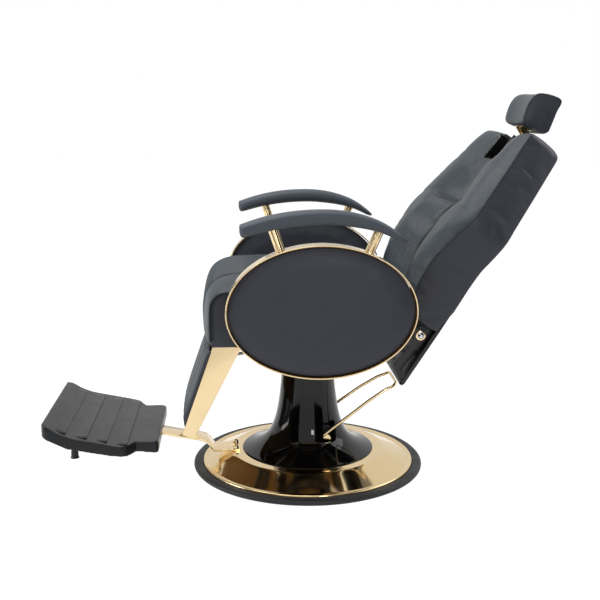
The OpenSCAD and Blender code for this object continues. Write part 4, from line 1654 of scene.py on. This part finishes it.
        # The stitched lines are creased, and their points get the painted shade of the sewn grooves.
        for i, (x, place) in enumerate(stations):
            if abs(place - round(place)) < 0.01:
                for j in range(count - 1):
                    if firm[i * size + j]:
                        edge = (i * size + j, i * size + j + 1)
                        cover.seams[edge] = 0.75
                        cover.groove_shade_mask.update(edge)
        rear_skip, front_skip = 6, 4
        under = np.zeros(len(cover.points), bool)
        for i in range(len(stations)):
            under[i * size + count - 2 : (i + 1) * size] = True
            under[i * size : i * size + 3] = True
        # The rings along the side seams get painted shade too, drawn as a dark seam line.
        for first in (0, (len(stations) - 1) * size):
            cover.groove_shade_mask.update(range(first + rear_skip, first + count - front_skip))
        cover.sewn = cover.sewn | firm | under
        piece = cover.make("seat_quilted_cushion", UPRIGHT)
        fill(piece, cover.sewn, pressure=5.0, cap=7.0, slack=0.01)
        finish_cover(piece)
        hand_over(piece, Body.SEAT, LEATHERCLOTH, ["seat_cushion"])
        for side in Side:
            ring = rings[-1 if side is Side.LEFT else 0][:count]
            out = np.array([side.value * 0.6, 0, 0])
            line = even(ring[rear_skip:-front_skip] + out, 240)
            bead = welt(f"{side.word}_seat_welt", line, 2.3)
            hand_over(bead, Body.SEAT, LEATHERCLOTH)


# ---- side panels and arms -------------------------------------------------------------------


@dataclass
class SidePanel:
    """Oval side panel in its metal band, with an outer pad, an inner lining and an arm on posts.

    Attributes:
        side: Side of the chair.
        y: Y of the oval's middle.
        z: Height of the oval's middle.
        half_long: Half of the oval's length over the band.
        half_high: Half of its height over the band.
        band: Room that the band takes between its outer face and the pads.
        rim: Thickness of the band's metal.
        arm_x: Distance of the arm's middle line from the chair's middle.
        arm_top: Height of the arm's highest point.
        arm_peak: Y of that point.
    """

    side: Side
    y: float = 11.0
    z: float = 530.0
    half_long: float = 247.5
    half_high: float = 175.0
    band: float = 6.0
    rim: float = 3.6
    arm_x: float = 321.0
    arm_top: float = 792.0
    arm_peak: float = 12.0

    def build(self) -> None:
        """Builds the band, both pads, the posts and the arm."""
        word = self.side.word
        ring = worked_copy(f"{word}_panel_band", f"{word}_oval_band")
        for vertex in ring.data.vertices:
            y, z = vertex.co.y / MM - self.y, vertex.co.z / MM - self.z
            out = math.hypot(y / (self.half_long - self.band), z / (self.half_high - self.band))
            if abs(out - 1) < 0.008:
                length = math.hypot(y, z)
                vertex.co.y += y / length * (self.band - self.rim) * MM
                vertex.co.z += z / length * (self.band - self.rim) * MM
        apply_modifier(
            ring, "BEVEL", width=1.0 * MM, segments=2, limit_method="ANGLE", angle_limit=math.radians(50)
        )
        smooth_faces(ring, 40)
        hand_over(ring, Body.SEAT, GOLD_PLATING, [f"{word}_panel_band"])
        self._pad(f"{word}_oval_pad", f"{word}_panel_pad", 338.0, self.side.value, 26.0)
        self._pad(f"{word}_oval_lining", f"{word}_panel_lining", 323.0, -self.side.value, 20.0)
        dress_node(f"{word}_panel_board", BIRCH_PLY)
        posts = worked_copy(f"{word}_arm_posts", f"{word}_arm_round_posts", 0.0, angle=30)
        hand_over(posts, Body.SEAT, GOLD_PLATING, [f"{word}_arm_posts"])
        self._arm()

    def _pad(self, name: str, node: str, x: float, outward: int, depth: float) -> None:
        """Builds one crowned oval pad.

        Args:
            name: Name of the piece.
            node: Construction node that it stands for.
            x: Distance of the pad's flat back from the chair's middle.
            outward: 1 where the pad faces +X.
            depth: Thickness in the middle.
        """
        a = self.half_long - self.band - 1.6
        b = self.half_high - self.band - 1.6
        n = 45
        u = np.sin(np.linspace(-1, 1, n) * math.pi / 2 * 0.86) / math.sin(math.pi / 2 * 0.86)
        s, t = np.meshgrid(u, u)
        ex, ez = s * np.sqrt(1 - t * t / 2), t * np.sqrt(1 - s * s / 2)
        r = np.clip(np.hypot(ex, ez), 0, 1)
        edge = (1 - r) * (a + b) / 2
        swell = depth * 0.38 + (depth * 0.46) * rounding(edge, 34, 2.2) + depth * 0.16 * (1 - r * r)
        front = np.stack([ex * a, -swell, ez * b], axis=-1)
        rear = np.stack([ex * a, np.zeros_like(ex), ez * b], axis=-1)
        slab = Slab(front, rear, np.ones((n - 1, n - 1), bool), 3, np.zeros((n, n)), seam=0.3)
        cover = slab.cover()
        piece = cover.make(name, Facing(outward, self.side.value * x, self.y, self.z))
        fill(piece, cover.sewn, pressure=2.0, cap=1.6)
        finish_cover(piece)
        piece.data.materials.clear()
        # The pad takes the side copy of the cloth, whose colour is painted light.
        hand_over(piece, Body.SEAT, LEATHERCLOTH_SIDE, [node])

    def _arm(self) -> None:
        """Builds the moulded arm."""
        depth = Outline(
            (
                (-197, 22), (-194.5, 31), (-188, 36), (-170, 38), (-60, 40), (60, 39), (150, 31),
                (205, 21), (221, 14), (229, 7),
            )
        )
        half = Outline(((-197, 22), (-186, 29), (-150, 32), (100, 32), (190, 31), (215, 25), (229, 11)))
        front = [-197, -196, -193.5, -189, -182]
        rear = [201, 207, 212, 217, 221, 224.5, 227, 228.6]
        around, squareness = 40, 2.6
        angle = np.linspace(0, math.tau, around + 1)[:-1]
        c, s = np.cos(angle), np.sin(angle)
        k = (np.abs(c) ** squareness + np.abs(s) ** squareness) ** (-1 / squareness)
        rings = []
        for y in np.concatenate([front, np.linspace(-172, 195, 44), rear]):
            fall = 34 if y < self.arm_peak else 57
            top = self.arm_top - fall * abs((y - self.arm_peak) / 200) ** 2.15
            top -= 11 * max(0.0, (y - 150) / 79) ** 2
            h, w = float(depth.at(y)) / 2, float(half.at(y))
            x = self.side.value * (self.arm_x + w * c * k)
            rings.append(np.column_stack([x, np.full(around, y), top - h - h * s * k]))
        made = np.array(rings)
        if self.side is Side.RIGHT:
            made = made[:, ::-1]
        cover = Roll(made, panel_rows=3, dome=1.0, seam=0.0).cover()
        cover.sides = set()
        word = self.side.word
        piece = cover.make(f"{word}_arm_pad", UPRIGHT)
        finish_cover(piece)
        piece.data.materials.clear()
        hand_over(piece, Body.SEAT, INTEGRAL_FOAM, [f"{word}_armrest"])


# ---- back ------------------------------------------------------------------------------------


@dataclass
class BackRest:
    """Quilted back with its notch, lined for the headrest, on a bent frame and a shell board.

    Attributes:
        low: Where the cushion starts, along the back from the hinge.
        high: Where it ends.
        notch_low: Bottom of the notch.
        notch_half: Half width of the notch.
        crease: Where the lower channels bulge over the upper ones.
        shoulder: Where the bolsters start to roll in to the notch.
        channels: Number of channels.
        quilt_height: Height of a channel over its stitched lines.
        quilt_sink: How far the stitched lines lie under the plain middle.
        notch_sink: How far the bolsters' inner edge lies under it beside the notch.
        wave: How far the stitched lines swing to either side.
        wave_length: Length of one swing.
        half_width: Half width along the back.
        seam: Distance along the back of the side walls' front edge from the frame's zero plane.
        rear: The same of their rear edge.
        crown: How far the bolsters stand out before the side walls.
        middle: How far the plain middle stands out before them.
        quilt_half: Half width of the quilting along the back.
    """

    low: float = 36.0
    high: float = 606.0
    notch_low: float = 508.0
    notch_half: float = 67.0
    crease: float = 348.0
    shoulder: float = 488.0
    channels: int = 8
    quilt_height: float = 12.6
    quilt_sink: float = 8.6
    notch_sink: float = 13.0
    wave: float = 8.5
    wave_length: float = 118.0
    half_width: Outline = Outline(
        (
            (36, 248), (89, 256), (200, 288), (290, 321), (322, 327), (380, 306), (480, 268),
            (580, 228), (600, 220), (606, 212),
        )
    )
    seam: Outline = Outline(
        (
            (36, 40), (60, 80), (89, 99), (136, 113), (200, 122), (270, 120), (340, 111),
            (480, 105), (600, 101), (606, 95),
        )
    )
    rear: Outline = Outline(
        ((36, -19), (104, -21), (177, -8.6), (250, 0), (586, 0), (596, 2.5), (601, 6), (606, 15))
    )
    crown: Outline = Outline(
        ((36, 3), (89, 20), (250, 24), (330, 26), (380, 26), (480, 24), (590, 13), (606, 2))
    )
    middle: Outline = Outline(
        (
            (36, 3), (89, 18), (200, 25), (290, 30), (326, 27), (342, 17), (351, 4), (366, 10),
            (400, 12), (480, 7), (590, 4), (606, 0),
        )
    )
    quilt_half: Outline = Outline(((36, 166), (150, 158), (340, 137), (508, 71), (606, 68.5)))

    def build(self) -> None:
        """Builds the cushion, the liner and the board, and dresses the frame."""
        self._cushion()
        self._liner()
        self._edge_seams()
        board = worked_copy("back_board", "back_shell_board", 3.6, 3, 40)
        self._flare(board)
        hand_over(board, Body.BACK, SHELL_ABS, ["back_board"])
        steel = worked_copy("back_frame", "back_bent_frame", 0.8, 2, 35)
        hand_over(steel, Body.BACK, FRAME_POWDER, ["back_frame"])
        guide = worked_copy("headrest_guide", "headrest_post_guide", 1.5, 2, 35)
        hand_over(guide, Body.BACK, SHELL_ABS, ["headrest_guide"])

    def _rows(self) -> np.ndarray:
        """Places of the grid's rows along the back."""
        lower = np.linspace(44, 336, 38)
        fold = np.array([340.5, 344, 347, 350, 353, 357])
        upper = np.linspace(364, 496, 18)
        notch = [501, 505, 508, 511, 516, 523, 532, 542, 552, 562, 572, 582]
        top = [590, 596, 601, 604.4, 606]
        return np.concatenate([[36, 38, 41], lower, fold, upper, notch, top])

    def _cushion(self) -> None:
        """Builds the quilted cushion."""
        rows = self._rows()
        n, per = self.channels, 5
        inner = np.linspace(-1, 1, n * per + 1)
        v = np.array(
            [0.0, 0.022, 0.055, 0.1, 0.17, 0.26, 0.36, 0.47, 0.58, 0.68, 0.77, 0.85, 0.915, 0.965, 1.0]
        )
        cols = len(inner) + 2 * (len(v) - 1)
        s = rows[:, None] * np.ones(cols)
        width = self.half_width.at(rows) - 3.5
        panel = self.quilt_half.at(rows)
        left = -(panel[:, None] + (width - panel)[:, None] * v[:0:-1])
        right = panel[:, None] + (width - panel)[:, None] * v[1:]
        mid = panel[:, None] * inner
        x = np.hstack([left, mid, right])
        beside = np.full(len(v) - 1, BESIDE_QUILTING)
        across = np.hstack([beside, inner, beside])
        on_panel = np.abs(across) < 1.001
        seam, crown, middle = (o.at(rows)[:, None] for o in (self.seam, self.crown, self.middle))
        low = middle - self.quilt_sink
        ends = np.minimum(rounding(rows - self.low, 26, 1.6), rounding(self.high - rows, 16, 2.0))[:, None]
        sink = -5.0 * np.exp(-(((rows - self.crease) / 4.5) ** 2))[:, None]
        top_roll = 9.0 * (1 - rounding(self.notch_low - rows, 15, 2.0))[:, None]
        wave = self.wave * np.sin((s - 60) / self.wave_length * math.tau)
        wave = wave * (1 - np.clip(np.abs(across), 0, 1) ** 5)
        bump = quilt((np.clip(across, -1, 1) + 1) * n / 2, self.quilt_height)
        on_middle = seam + low + bump * ends + sink - top_roll
        d_in = np.abs(x) - panel[:, None]
        d_out = width[:, None] - np.abs(x)
        rolled = crown * rounding(d_out, 42, 1.75)
        valley = np.where(s > self.notch_low, middle - self.notch_sink, low)
        past_shoulder = 1 + np.exp(-(s - self.shoulder) / 9)
        gentle = 26 + 46 / (1 + np.exp(-(s - self.crease) / 8)) + 52 / past_shoulder
        inner_roll = rounding(d_in, gentle, 1.7 - 0.45 / past_shoulder)
        bolster = seam + valley + (rolled - valley) * inner_roll
        depth = np.where(on_panel[None, :], on_middle, bolster)
        seam_cols = np.isclose(np.abs(across), 1.0)
        beside_notch = seam + middle - self.notch_sink
        depth[:, seam_cols] = np.where(
            s[:, seam_cols] > self.notch_low, beside_notch, seam + low - top_roll
        )
        x = x + np.where(on_panel[None, :], wave, 0.0)
        front = np.stack([x, -depth, s], axis=-1)
        rear_x = x * (1 - 6.5 / np.maximum(width[:, None], 1))
        rear_x = np.where((np.abs(x) < 80) | (s < self.notch_low) & on_panel[None, :], x, rear_x)
        rear = np.stack([rear_x, -self.rear.at(rows)[:, None] * np.ones(cols), s], axis=-1)
        cells = np.ones((len(rows) - 1, cols - 1), bool)
        first = len(v) - 1
        notch_row = int(np.flatnonzero(np.isclose(rows, self.notch_low))[0])
        cells[notch_row:, first : first + n * per] = False
        bulge = np.where(np.abs(x) < 90, 0.0, 5.0) * np.where(s > 600, 0.5, 1.0)
        slab = Slab(front, rear, cells, 12, bulge, seam=0.9, rear_seam=0.7)
        cover = slab.cover()
        number = slab.number
        self._hold_lines(cover, number, rows, across, per)
        piece = cover.make("back_quilted_cushion", BACK_LEAN)
        fill(piece, cover.sewn, pressure=4.5, cap=4.5, slack=0.01)
        finish_cover(piece)
        hand_over(piece, Body.BACK, LEATHERCLOTH, ["back_cushion"])

    def _hold_lines(
        self, cover: Cover, number: np.ndarray, rows: np.ndarray, across: np.ndarray, per: int
    ) -> None:
        """Marks the stitched lines of the quilting and the fold across it.

        Args:
            cover: The cover.
            number: Number of the cover's point at each place of the grid.
            rows: Places of the rows along the back.
            across: Places of the columns across the quilting.
            per: Cells to a channel.
        """
        first = int(np.flatnonzero(np.isclose(across, -1.0))[0])
        last = int(np.flatnonzero(np.isclose(across, 1.0))[0])
        # The stitched lines get the painted shade of the sewn grooves.
        for j in range(first, last + 1, per):
            for i in range(len(rows) - 1):
                a, b = int(number[i, j]), int(number[i + 1, j])
                if a >= 0 and b >= 0 and rows[i] < self.notch_low:
                    cover.sewn[[a, b]] = True
                    cover.seams[tuple(sorted((a, b)))] = 0.75
                    cover.groove_shade_mask.update((a, b))
        # The fold across the channels gets the same painted shade.
        fold = int(np.argmin(np.abs(rows - self.crease)))
        for j in range(first, last):
            a, b = int(number[fold, j]), int(number[fold, j + 1])
            cover.sewn[[a, b]] = True
            cover.seams[tuple(sorted((a, b)))] = 0.8
            cover.groove_shade_mask.update((a, b))

    def _flare(self, board: bpy.types.Object) -> None:
        """Bends the board's lower end a little to the rear.

        Args:
            board: The board, in place.
        """
        c, d = math.cos(math.radians(BACK_LEAN.angle)), math.sin(math.radians(BACK_LEAN.angle))
        start, run, most = 20, 163, 13.0
        for vertex in board.data.vertices:
            y, z = vertex.co.y / MM - BACK_LEAN.y, vertex.co.z / MM - BACK_LEAN.z
            along = y * d + z * c
            out = most * max(0.0, min(1.0, (start - along) / run)) ** 1.4
            vertex.co.y += out * c * MM
            vertex.co.z -= out * d * MM

    def _edge_seams(self) -> None:
        """Lays a thin piped seam along the front edge of each side wall."""
        rows = np.concatenate([np.linspace(44, 590, 120), [595, 599, 602]])
        for side in Side:
            x = side.value * (self.half_width.at(rows) - 3.2)
            line = np.stack([x, -self.seam.at(rows), rows], axis=-1)
            bead = welt(f"{side.word}_back_welt", BACK_LEAN.place(line), 1.9)
            # The welt takes the side copy of the cloth, whose colour is painted light.
            hand_over(bead, Body.BACK, LEATHERCLOTH_SIDE)

    def _liner(self) -> None:
        """Forms the notch's glossy liner, with round lower corners and a rolled lip."""
        half, low, top, radius = self.notch_half - 0.4, self.notch_low + 0.4, 596.0, 15.0
        corner = [
            (half - radius + radius * math.cos(a), low + radius - radius * math.sin(a))
            for a in np.linspace(0, math.pi / 2, 9)
        ]
        right = [(half, z) for z in np.linspace(top, low + radius, 12)[:-1]] + corner
        left = [(-x, z) for x, z in reversed(right)]
        floor = [(x, low) for x in np.linspace(half - radius, radius - half, 10)[1:-1]]
        path = np.array(right + floor + left)
        step = np.gradient(path, axis=0)
        outward = np.stack([-step[:, 1], step[:, 0]], axis=-1)
        outward /= np.linalg.norm(outward, axis=1, keepdims=True)
        depths = [-2, 20, 42, 62, 78, 88, 94, 97, 99, 100.0]
        flare = [0, 0, 0, 0, 0, 0, 0, 0.1, 0.3, 0.8]
        grid = np.zeros((len(path), len(depths), 3))
        for j, (depth, out) in enumerate(zip(depths, flare)):
            place = path + outward * out
            grid[:, j, 0], grid[:, j, 1], grid[:, j, 2] = place[:, 0], -depth, place[:, 1]
        piece = formed_sheet("notch_gloss_liner", BACK_LEAN.place(grid), 2.4, 0.6)
        hand_over(piece, Body.BACK, GLOSSY_ABS, ["notch_liner"])


@dataclass
class Headrest:
    """Curved headrest cushion on a sliding post and a tilting bracket.

    Attributes:
        half: Half width.
        middle: Middle of the side outline, about which the ends draw in.
        hollow: Depth of the hollow in the front.
        crown: How far the top rises over its ends.
        side: Outline from the side, as places before the back and along it.
    """

    half: float = 90.0
    middle: tuple[float, float] = (80.0, 688.0)
    hollow: float = 8.5
    crown: float = 2.0
    side: tuple[tuple[float, float], ...] = (
        (90, 634), (62, 640), (42, 642), (32, 652), (35, 668), (42, 692), (49, 716), (54, 743),
        (60, 748), (80, 744), (102, 735), (121, 724), (130, 708), (130, 682), (122, 656),
        (112, 636), (103, 632),
    )

    def build(self) -> None:
        """Builds the cushion, the post and the bracket."""
        post = worked_copy("headrest_post", "headrest_flat_post", 0.9, 2, 25)
        hand_over(post, Body.HEADREST_POST, GOLD_PLATING, ["headrest_post"])
        bracket = worked_copy("headrest_bracket", "headrest_tilt_bracket", 0.6, 2, 25)
        hand_over(bracket, Body.HEADREST, GOLD_PLATING, ["headrest_bracket"])
        self._cushion()

    def _cushion(self) -> None:
        """Builds the cushion, with its hollow front and its two side panels."""
        line = spline([*self.side, self.side[0]], 65)[:-1]
        right_half = np.array([-90, -89, -86.5, -82, -75, -66, -56, -45, -34, -22, -11])
        middle_before, middle_along = self.middle
        rings = []
        for x in [*right_half, 0.0, *-right_half[::-1]]:
            e = abs(x) / self.half
            k = 1 - 0.075 * e**14
            front = np.clip((line[:, 0] - 92) / 30, 0, 1)
            front = front * front * (3 - 2 * front)
            top = np.clip((line[:, 1] - 720) / 20, 0, 1)
            before = middle_before + (line[:, 0] - middle_before) * k
            before = before - self.hollow * (1 - e * e) * front
            along = middle_along + (line[:, 1] - middle_along) * k
            along = along + self.crown * (1 - e * e) * top
            rings.append(np.column_stack([np.full(len(line), x), -before, along]))
        cover = Roll(np.array(rings), panel_rows=6, dome=3.0, seam=0.75).cover()
        piece = cover.make("headrest_cushion_pad", BACK_LEAN)
        fill(piece, cover.sewn, pressure=3.0, cap=3.0)
        finish_cover(piece)
        hand_over(piece, Body.HEADREST, LEATHERCLOTH, ["headrest_cushion"])
        for side, ring in ((Side.LEFT, rings[-1]), (Side.RIGHT, rings[0])):
            line = BACK_LEAN.place(np.vstack([ring, ring[:1]]))
            bead = welt(f"{side.word}_headrest_welt", line, 1.5)
            hand_over(bead, Body.HEADREST, LEATHERCLOTH)


# ---- legrest -------------------------------------------------------------------------------


@dataclass
class Legrest:
    """Quilted calf cushion between two gold side plates, on a shaft.

    Attributes:
        half: Half width of the cushion.
        board_front: Front face of its board.
        channels: Number of channels.
        pitch: Width of a channel.
        quilt_height: Height of a channel over its stitched lines.
        quilt_sink: How far the stitched lines lie under the plain form.
        depth: Thickness of the cushion along the leg.
    """

    half: float = 196.0
    board_front: float = 10.4
    channels: int = 8
    pitch: float = 47.0
    quilt_height: float = 4.2
    quilt_sink: float = 2.8
    depth: Outline = Outline(
        ((9, 10), (14, 17), (26, 21), (140, 21), (190, 19.5), (214, 16), (228, 8), (232, 1.5))
    )

    def build(self) -> None:
        """Builds the cushion and the plates, and dresses the shaft and the link."""
        self._cushion()
        for side in Side:
            plate = worked_copy(f"{side.word}_legrest_plate", f"{side.word}_leg_side_plate", 1.0, 3, 30)
            hand_over(plate, Body.LEGREST, GOLD_PLATING, [f"{side.word}_legrest_plate"])
        dress_node("calf_board", BIRCH_PLY)
        dress_node("legrest_shaft", FRAME_POWDER)
        dress_node("legrest_link", GROUND_STEEL)
        dress_node("gas_cylinder", BLACK_ENAMEL)
        dress_node("gas_rod", CHROME_PLATING)

    def _cushion(self) -> None:
        """Builds the calf cushion."""
        d = np.concatenate([[232, 230.5, 227, 221, 213], np.linspace(204, 30, 26), [24, 18.5, 14, 11, 9]])
        n, per = self.channels, 6
        inner = np.linspace(-n / 2, n / 2, n * per + 1) * self.pitch
        edge = [self.half - 4, self.half - 1.5, self.half]
        x_line = np.concatenate([[-x for x in reversed(edge)], inner[1:-1], edge])
        place = x_line / self.pitch
        x, z = np.meshgrid(x_line, -d)
        swell = 0.6 + 0.4 * (1 - np.clip(np.abs(x) / 195, 0, 1) ** 2)
        height = self.depth.at(-z) * swell * (0.7 + 0.3 * rounding(self.half - np.abs(x), 10, 2.0))
        channel = quilt(place, self.quilt_height)[None, :] - self.quilt_sink
        held = np.isclose(place, np.round(place), atol=0.01) & (np.abs(place) < n / 2)
        height = np.maximum(height + channel * np.clip((height - 4) / 6, 0, 1), 0.8)
        wave = 4.0 * np.sin(-z / 120 * math.tau) * np.clip((180 - np.abs(x)) / 40, 0, 1)
        front = np.stack([x + wave, -self.board_front - height, z], axis=-1)
        rear = np.stack([x, np.full_like(x, -self.board_front), z], axis=-1)
        cells = np.ones((len(d) - 1, len(x_line) - 1), bool)
        slab = Slab(front, rear, cells, 4, np.full_like(x, 1.2), seam=0.7)
        cover = slab.cover()
        number = slab.number
        # The stitched lines are creased and held, and their points get the painted shade of the sewn
        # grooves.
        for j in np.flatnonzero(held):
            for i in range(len(d) - 1):
                a, b = int(number[i, j]), int(number[i + 1, j])
                cover.sewn[[a, b]] = True
                cover.seams[tuple(sorted((a, b)))] = 0.7
                cover.groove_shade_mask.update((a, b))
        piece = cover.make("calf_quilted_cushion", LEG_LEAN)
        fill(piece, cover.sewn, pressure=4.0, cap=3.0)
        finish_cover(piece)
        hand_over(piece, Body.LEGREST, LEATHERCLOTH, ["calf_cushion"])


@dataclass
class Hinges:
    """Black hinge plates of the back with their chrome dome bolts and gold washers.

    Attributes:
        washer_x: Distance of a washer's inner face from the chair's middle.
    """

    washer_x: float = 214.2

    def build(self) -> None:
        """Builds the plates and the bolts from their construction shapes, and the washers."""
        plates = worked_copy("hinge_plates", "back_hinge_plates", 0.9, 3, 30)
        hand_over(plates, Body.SEAT, FRAME_POWDER, ["hinge_plates"])
        self._washers()
        bolts = worked_copy("hinge_bolts", "back_hinge_bolts", 0.0, angle=30)
        hand_over(bolts, Body.SEAT, CHROME_PLATING, ["hinge_bolts"])
        dress_node("panel_bolts", GROUND_STEEL)

    def _washers(self) -> None:
        """Turns one plated washer and sets a copy under the nut of each hinge."""
        profile = [(9.2, 0.0), (13.0, 0.0), (13.6, 0.6), (13.6, 1.8), (12.8, 2.4), (9.2, 2.4), (9.2, 0.0)]
        for side in Side:
            piece = turned(f"{side.word}_hinge_washer", profile, 48)
            take_up(piece)
            bpy.ops.transform.rotate(
                value=math.radians(-90 * side.value), orient_axis="Y", center_override=(0, 0, 0)
            )
            place = (side.value * self.washer_x * MM, BACK_LEAN.y * MM, BACK_LEAN.z * MM)
            bpy.ops.transform.translate(value=place)
            bpy.ops.object.transform_apply(location=True, rotation=True, scale=True)
            smooth_faces(piece, 40)
            hand_over(piece, Body.SEAT, GOLD_PLATING)


# ---- studio --------------------------------------------------------------------------------

WHITE = (1.0, 1.0, 1.0, 1.0)


@dataclass
class Studio:
    """Pale floor, soft lamps, white surround and the camera.

    Attributes:
        eye: Place of the camera, in metres.
        yaw: Turn of its line of sight from -X, in radians.
        pitch: How far it looks down, in radians.
        lens: Focal length on a 36 mm sensor.
        floor_white: Strength of the floor's white.
        floor_seen: Share of that white where the camera sees the floor.
        floor_mirrored: Share of it where a gloss mirrors the floor.
        soft_light: Strength of the surround as a light.
        mirrored_light: Its strength where a gloss mirrors it.
        flag_away: Distance of the black flags from the object, in metres.
    """

    eye: tuple[float, float, float] = (2.70528, -0.20119, 1.03505)
    yaw: float = 0.065797
    pitch: float = 0.196503
    lens: float = 56.86
    floor_white: float = 1.25
    floor_seen: float = 0.76
    floor_mirrored: float = 0.6
    soft_light: float = 0.42
    mirrored_light: float = 0.85
    flag_away: float = 2.3

    def build(self) -> None:
        """Builds the studio."""
        self._floor()
        self._surround()
        felt = self._felt()
        self._flag("right_flag", 36.0, 1.3, felt)
        self._flag("left_flag", -54.0, 1.7, felt)
        self._lamp("top_softbox", (-0.2, -0.7, 2.9), (0.0, 0.0, 0.4), 2.2, 39.0)
        self._lamp("front_softbox", (0.4, -2.9, 1.0), (0.0, 0.0, 0.5), 1.5, 31.0)
        self._lamp("camera_softbox", (2.9, 0.62, 1.3), (0.0, 0.1, 0.5), 0.45, 9.0)
        self._lamp("rear_softbox", (-0.4, 2.6, 2.2), (0.0, 0.2, 0.6), 1.6, 14.0)
        self._camera()
        bpy.context.scene.view_settings.view_transform = "Standard"

    def _floor(self) -> None:
        """Lays the pale floor, which shows white and keeps a soft shadow."""
        put_down_all()
        bpy.ops.mesh.primitive_plane_add(size=30)
        floor = bpy.context.object
        floor.name = "studio_floor"
        made = bpy.data.materials.new("matt white floor")
        made.use_nodes = True
        tree = made.node_tree
        tree.nodes.clear()
        rays = put_node(tree, "ShaderNodeLightPath")
        plain = put_node(tree, "ShaderNodeBsdfDiffuse", inputs={"Color": linear("#f2f2f2")})
        white = put_node(tree, "ShaderNodeEmission", inputs={"Color": WHITE, "Strength": self.floor_white})
        seen = put_node(
            tree,
            "ShaderNodeMath",
            {"operation": "MULTIPLY"},
            {0: rays.outputs["Is Camera Ray"], 1: self.floor_seen},
        )
        glossy = put_node(
            tree,
            "ShaderNodeMath",
            {"operation": "MULTIPLY"},
            {0: rays.outputs["Is Glossy Ray"], 1: self.floor_mirrored},
        )
        share = put_node(
            tree, "ShaderNodeMath", {"operation": "MAXIMUM"}, {0: seen.outputs[0], 1: glossy.outputs[0]}
        )
        mix = put_node(
            tree,
            "ShaderNodeMixShader",
            inputs={0: share.outputs[0], 1: plain.outputs[0], 2: white.outputs[0]},
        )
        put_node(tree, "ShaderNodeOutputMaterial", inputs={"Surface": mix.outputs[0]})
        floor.data.materials.append(made)

    def _surround(self) -> None:
        """Sets the white surround, which lights softly and shows white."""
        world = bpy.data.worlds.new("white surround")
        bpy.context.scene.world = world
        world.use_nodes = True
        tree = world.node_tree
        tree.nodes.clear()
        rays = put_node(tree, "ShaderNodeLightPath")
        direct = put_node(
            tree,
            "ShaderNodeMath",
            {"operation": "MAXIMUM"},
            {0: rays.outputs["Is Camera Ray"], 1: rays.outputs["Is Transmission Ray"]},
        )
        soft, white, mirror = (
            put_node(tree, "ShaderNodeBackground", inputs={"Color": WHITE, "Strength": strength})
            for strength in (self.soft_light, 1.0, self.mirrored_light)
        )
        first = put_node(
            tree,
            "ShaderNodeMixShader",
            inputs={0: rays.outputs["Is Glossy Ray"], 1: soft.outputs[0], 2: mirror.outputs[0]},
        )
        mix = put_node(
            tree,
            "ShaderNodeMixShader",
            inputs={0: direct.outputs[0], 1: first.outputs[0], 2: white.outputs[0]},
        )
        put_node(tree, "ShaderNodeOutputWorld", inputs={"Surface": mix.outputs[0]})

    @staticmethod
    def _felt() -> bpy.types.Material:
        """Makes the flags' black felt: pressed wool, dull and nearly without a gloss.

        Returns:
            The material.
        """
        felt = bpy.data.materials.new("black felt")
        felt.use_nodes = True
        shader = felt.node_tree.nodes["Principled BSDF"]
        shader.inputs["Base Color"].default_value = (0.004, 0.004, 0.004, 1)
        shader.inputs["Specular IOR Level"].default_value = 0.0
        return felt

    def _flag(self, name: str, bearing: float, width: float, felt: bpy.types.Material) -> None:
        """Stands one tall black flag beside the set, which shows only in reflections.

        Args:
            name: Name of the flag.
            bearing: Bearing from the object, in degrees from +X towards +Y.
            width: Width in metres.
            felt: Material of the flag.
        """
        angle, away = math.radians(bearing), self.flag_away
        put_down_all()
        bpy.ops.mesh.primitive_plane_add(
            size=1.0,
            location=(away * math.cos(angle), away * math.sin(angle), 1.3),
            rotation=(math.pi / 2, 0, angle + math.pi / 2),
        )
        flag = bpy.context.object
        flag.name = name
        flag.scale = (width, 2.4, 1)
        flag.data.materials.append(felt)
        flag.visible_camera = flag.visible_diffuse = flag.visible_shadow = False
        flag.visible_transmission = False

    @staticmethod
    def _lamp(
        name: str,
        place: tuple[float, float, float],
        target: tuple[float, float, float],
        size: float,
        power: float,
    ) -> None:
        """Hangs one square softbox.

        Args:
            name: Name of the lamp.
            place: Where it hangs, in metres.
            target: Where it points.
            size: Length of its side.
            power: Its power in watts.
        """
        data = bpy.data.lights.new(name, "AREA")
        data.shape, data.size, data.energy = "SQUARE", size, power
        lamp = bpy.data.objects.new(name, data)
        bpy.context.scene.collection.objects.link(lamp)
        lamp.location = place
        lamp.rotation_mode = "QUATERNION"
        lamp.rotation_quaternion = (Vector(target) - Vector(place)).to_track_quat("-Z", "Y")

    def _camera(self) -> None:
        """Sets the camera."""
        data = bpy.data.cameras.new("studio_camera")
        data.lens, data.sensor_width = self.lens, 36.0
        camera = bpy.data.objects.new("studio_camera", data)
        bpy.context.scene.collection.objects.link(camera)
        sight = Vector(
            (
                -math.cos(self.pitch) * math.cos(self.yaw),
                math.cos(self.pitch) * math.sin(self.yaw),
                -math.sin(self.pitch),
            )
        )
        camera.location = self.eye
        camera.rotation_mode = "QUATERNION"
        camera.rotation_quaternion = sight.to_track_quat("-Z", "Y")
        bpy.context.scene.camera = camera


def main() -> None:
    """Builds the chair from the floor up, and then the studio."""
    logging.basicConfig(level=logging.INFO, format="%(message)s")
    parts = (
        Pedestal(),
        Footrest(),
        PumpPedal(),
        Seat(),
        SidePanel(Side.LEFT),
        SidePanel(Side.RIGHT),
        Hinges(),
        BackRest(),
        Headrest(),
        Legrest(),
        Studio(),
    )
    for part in parts:
        log.info("building %s", type(part).__name__)
        part.build()


if __name__ == "__main__":
    main()
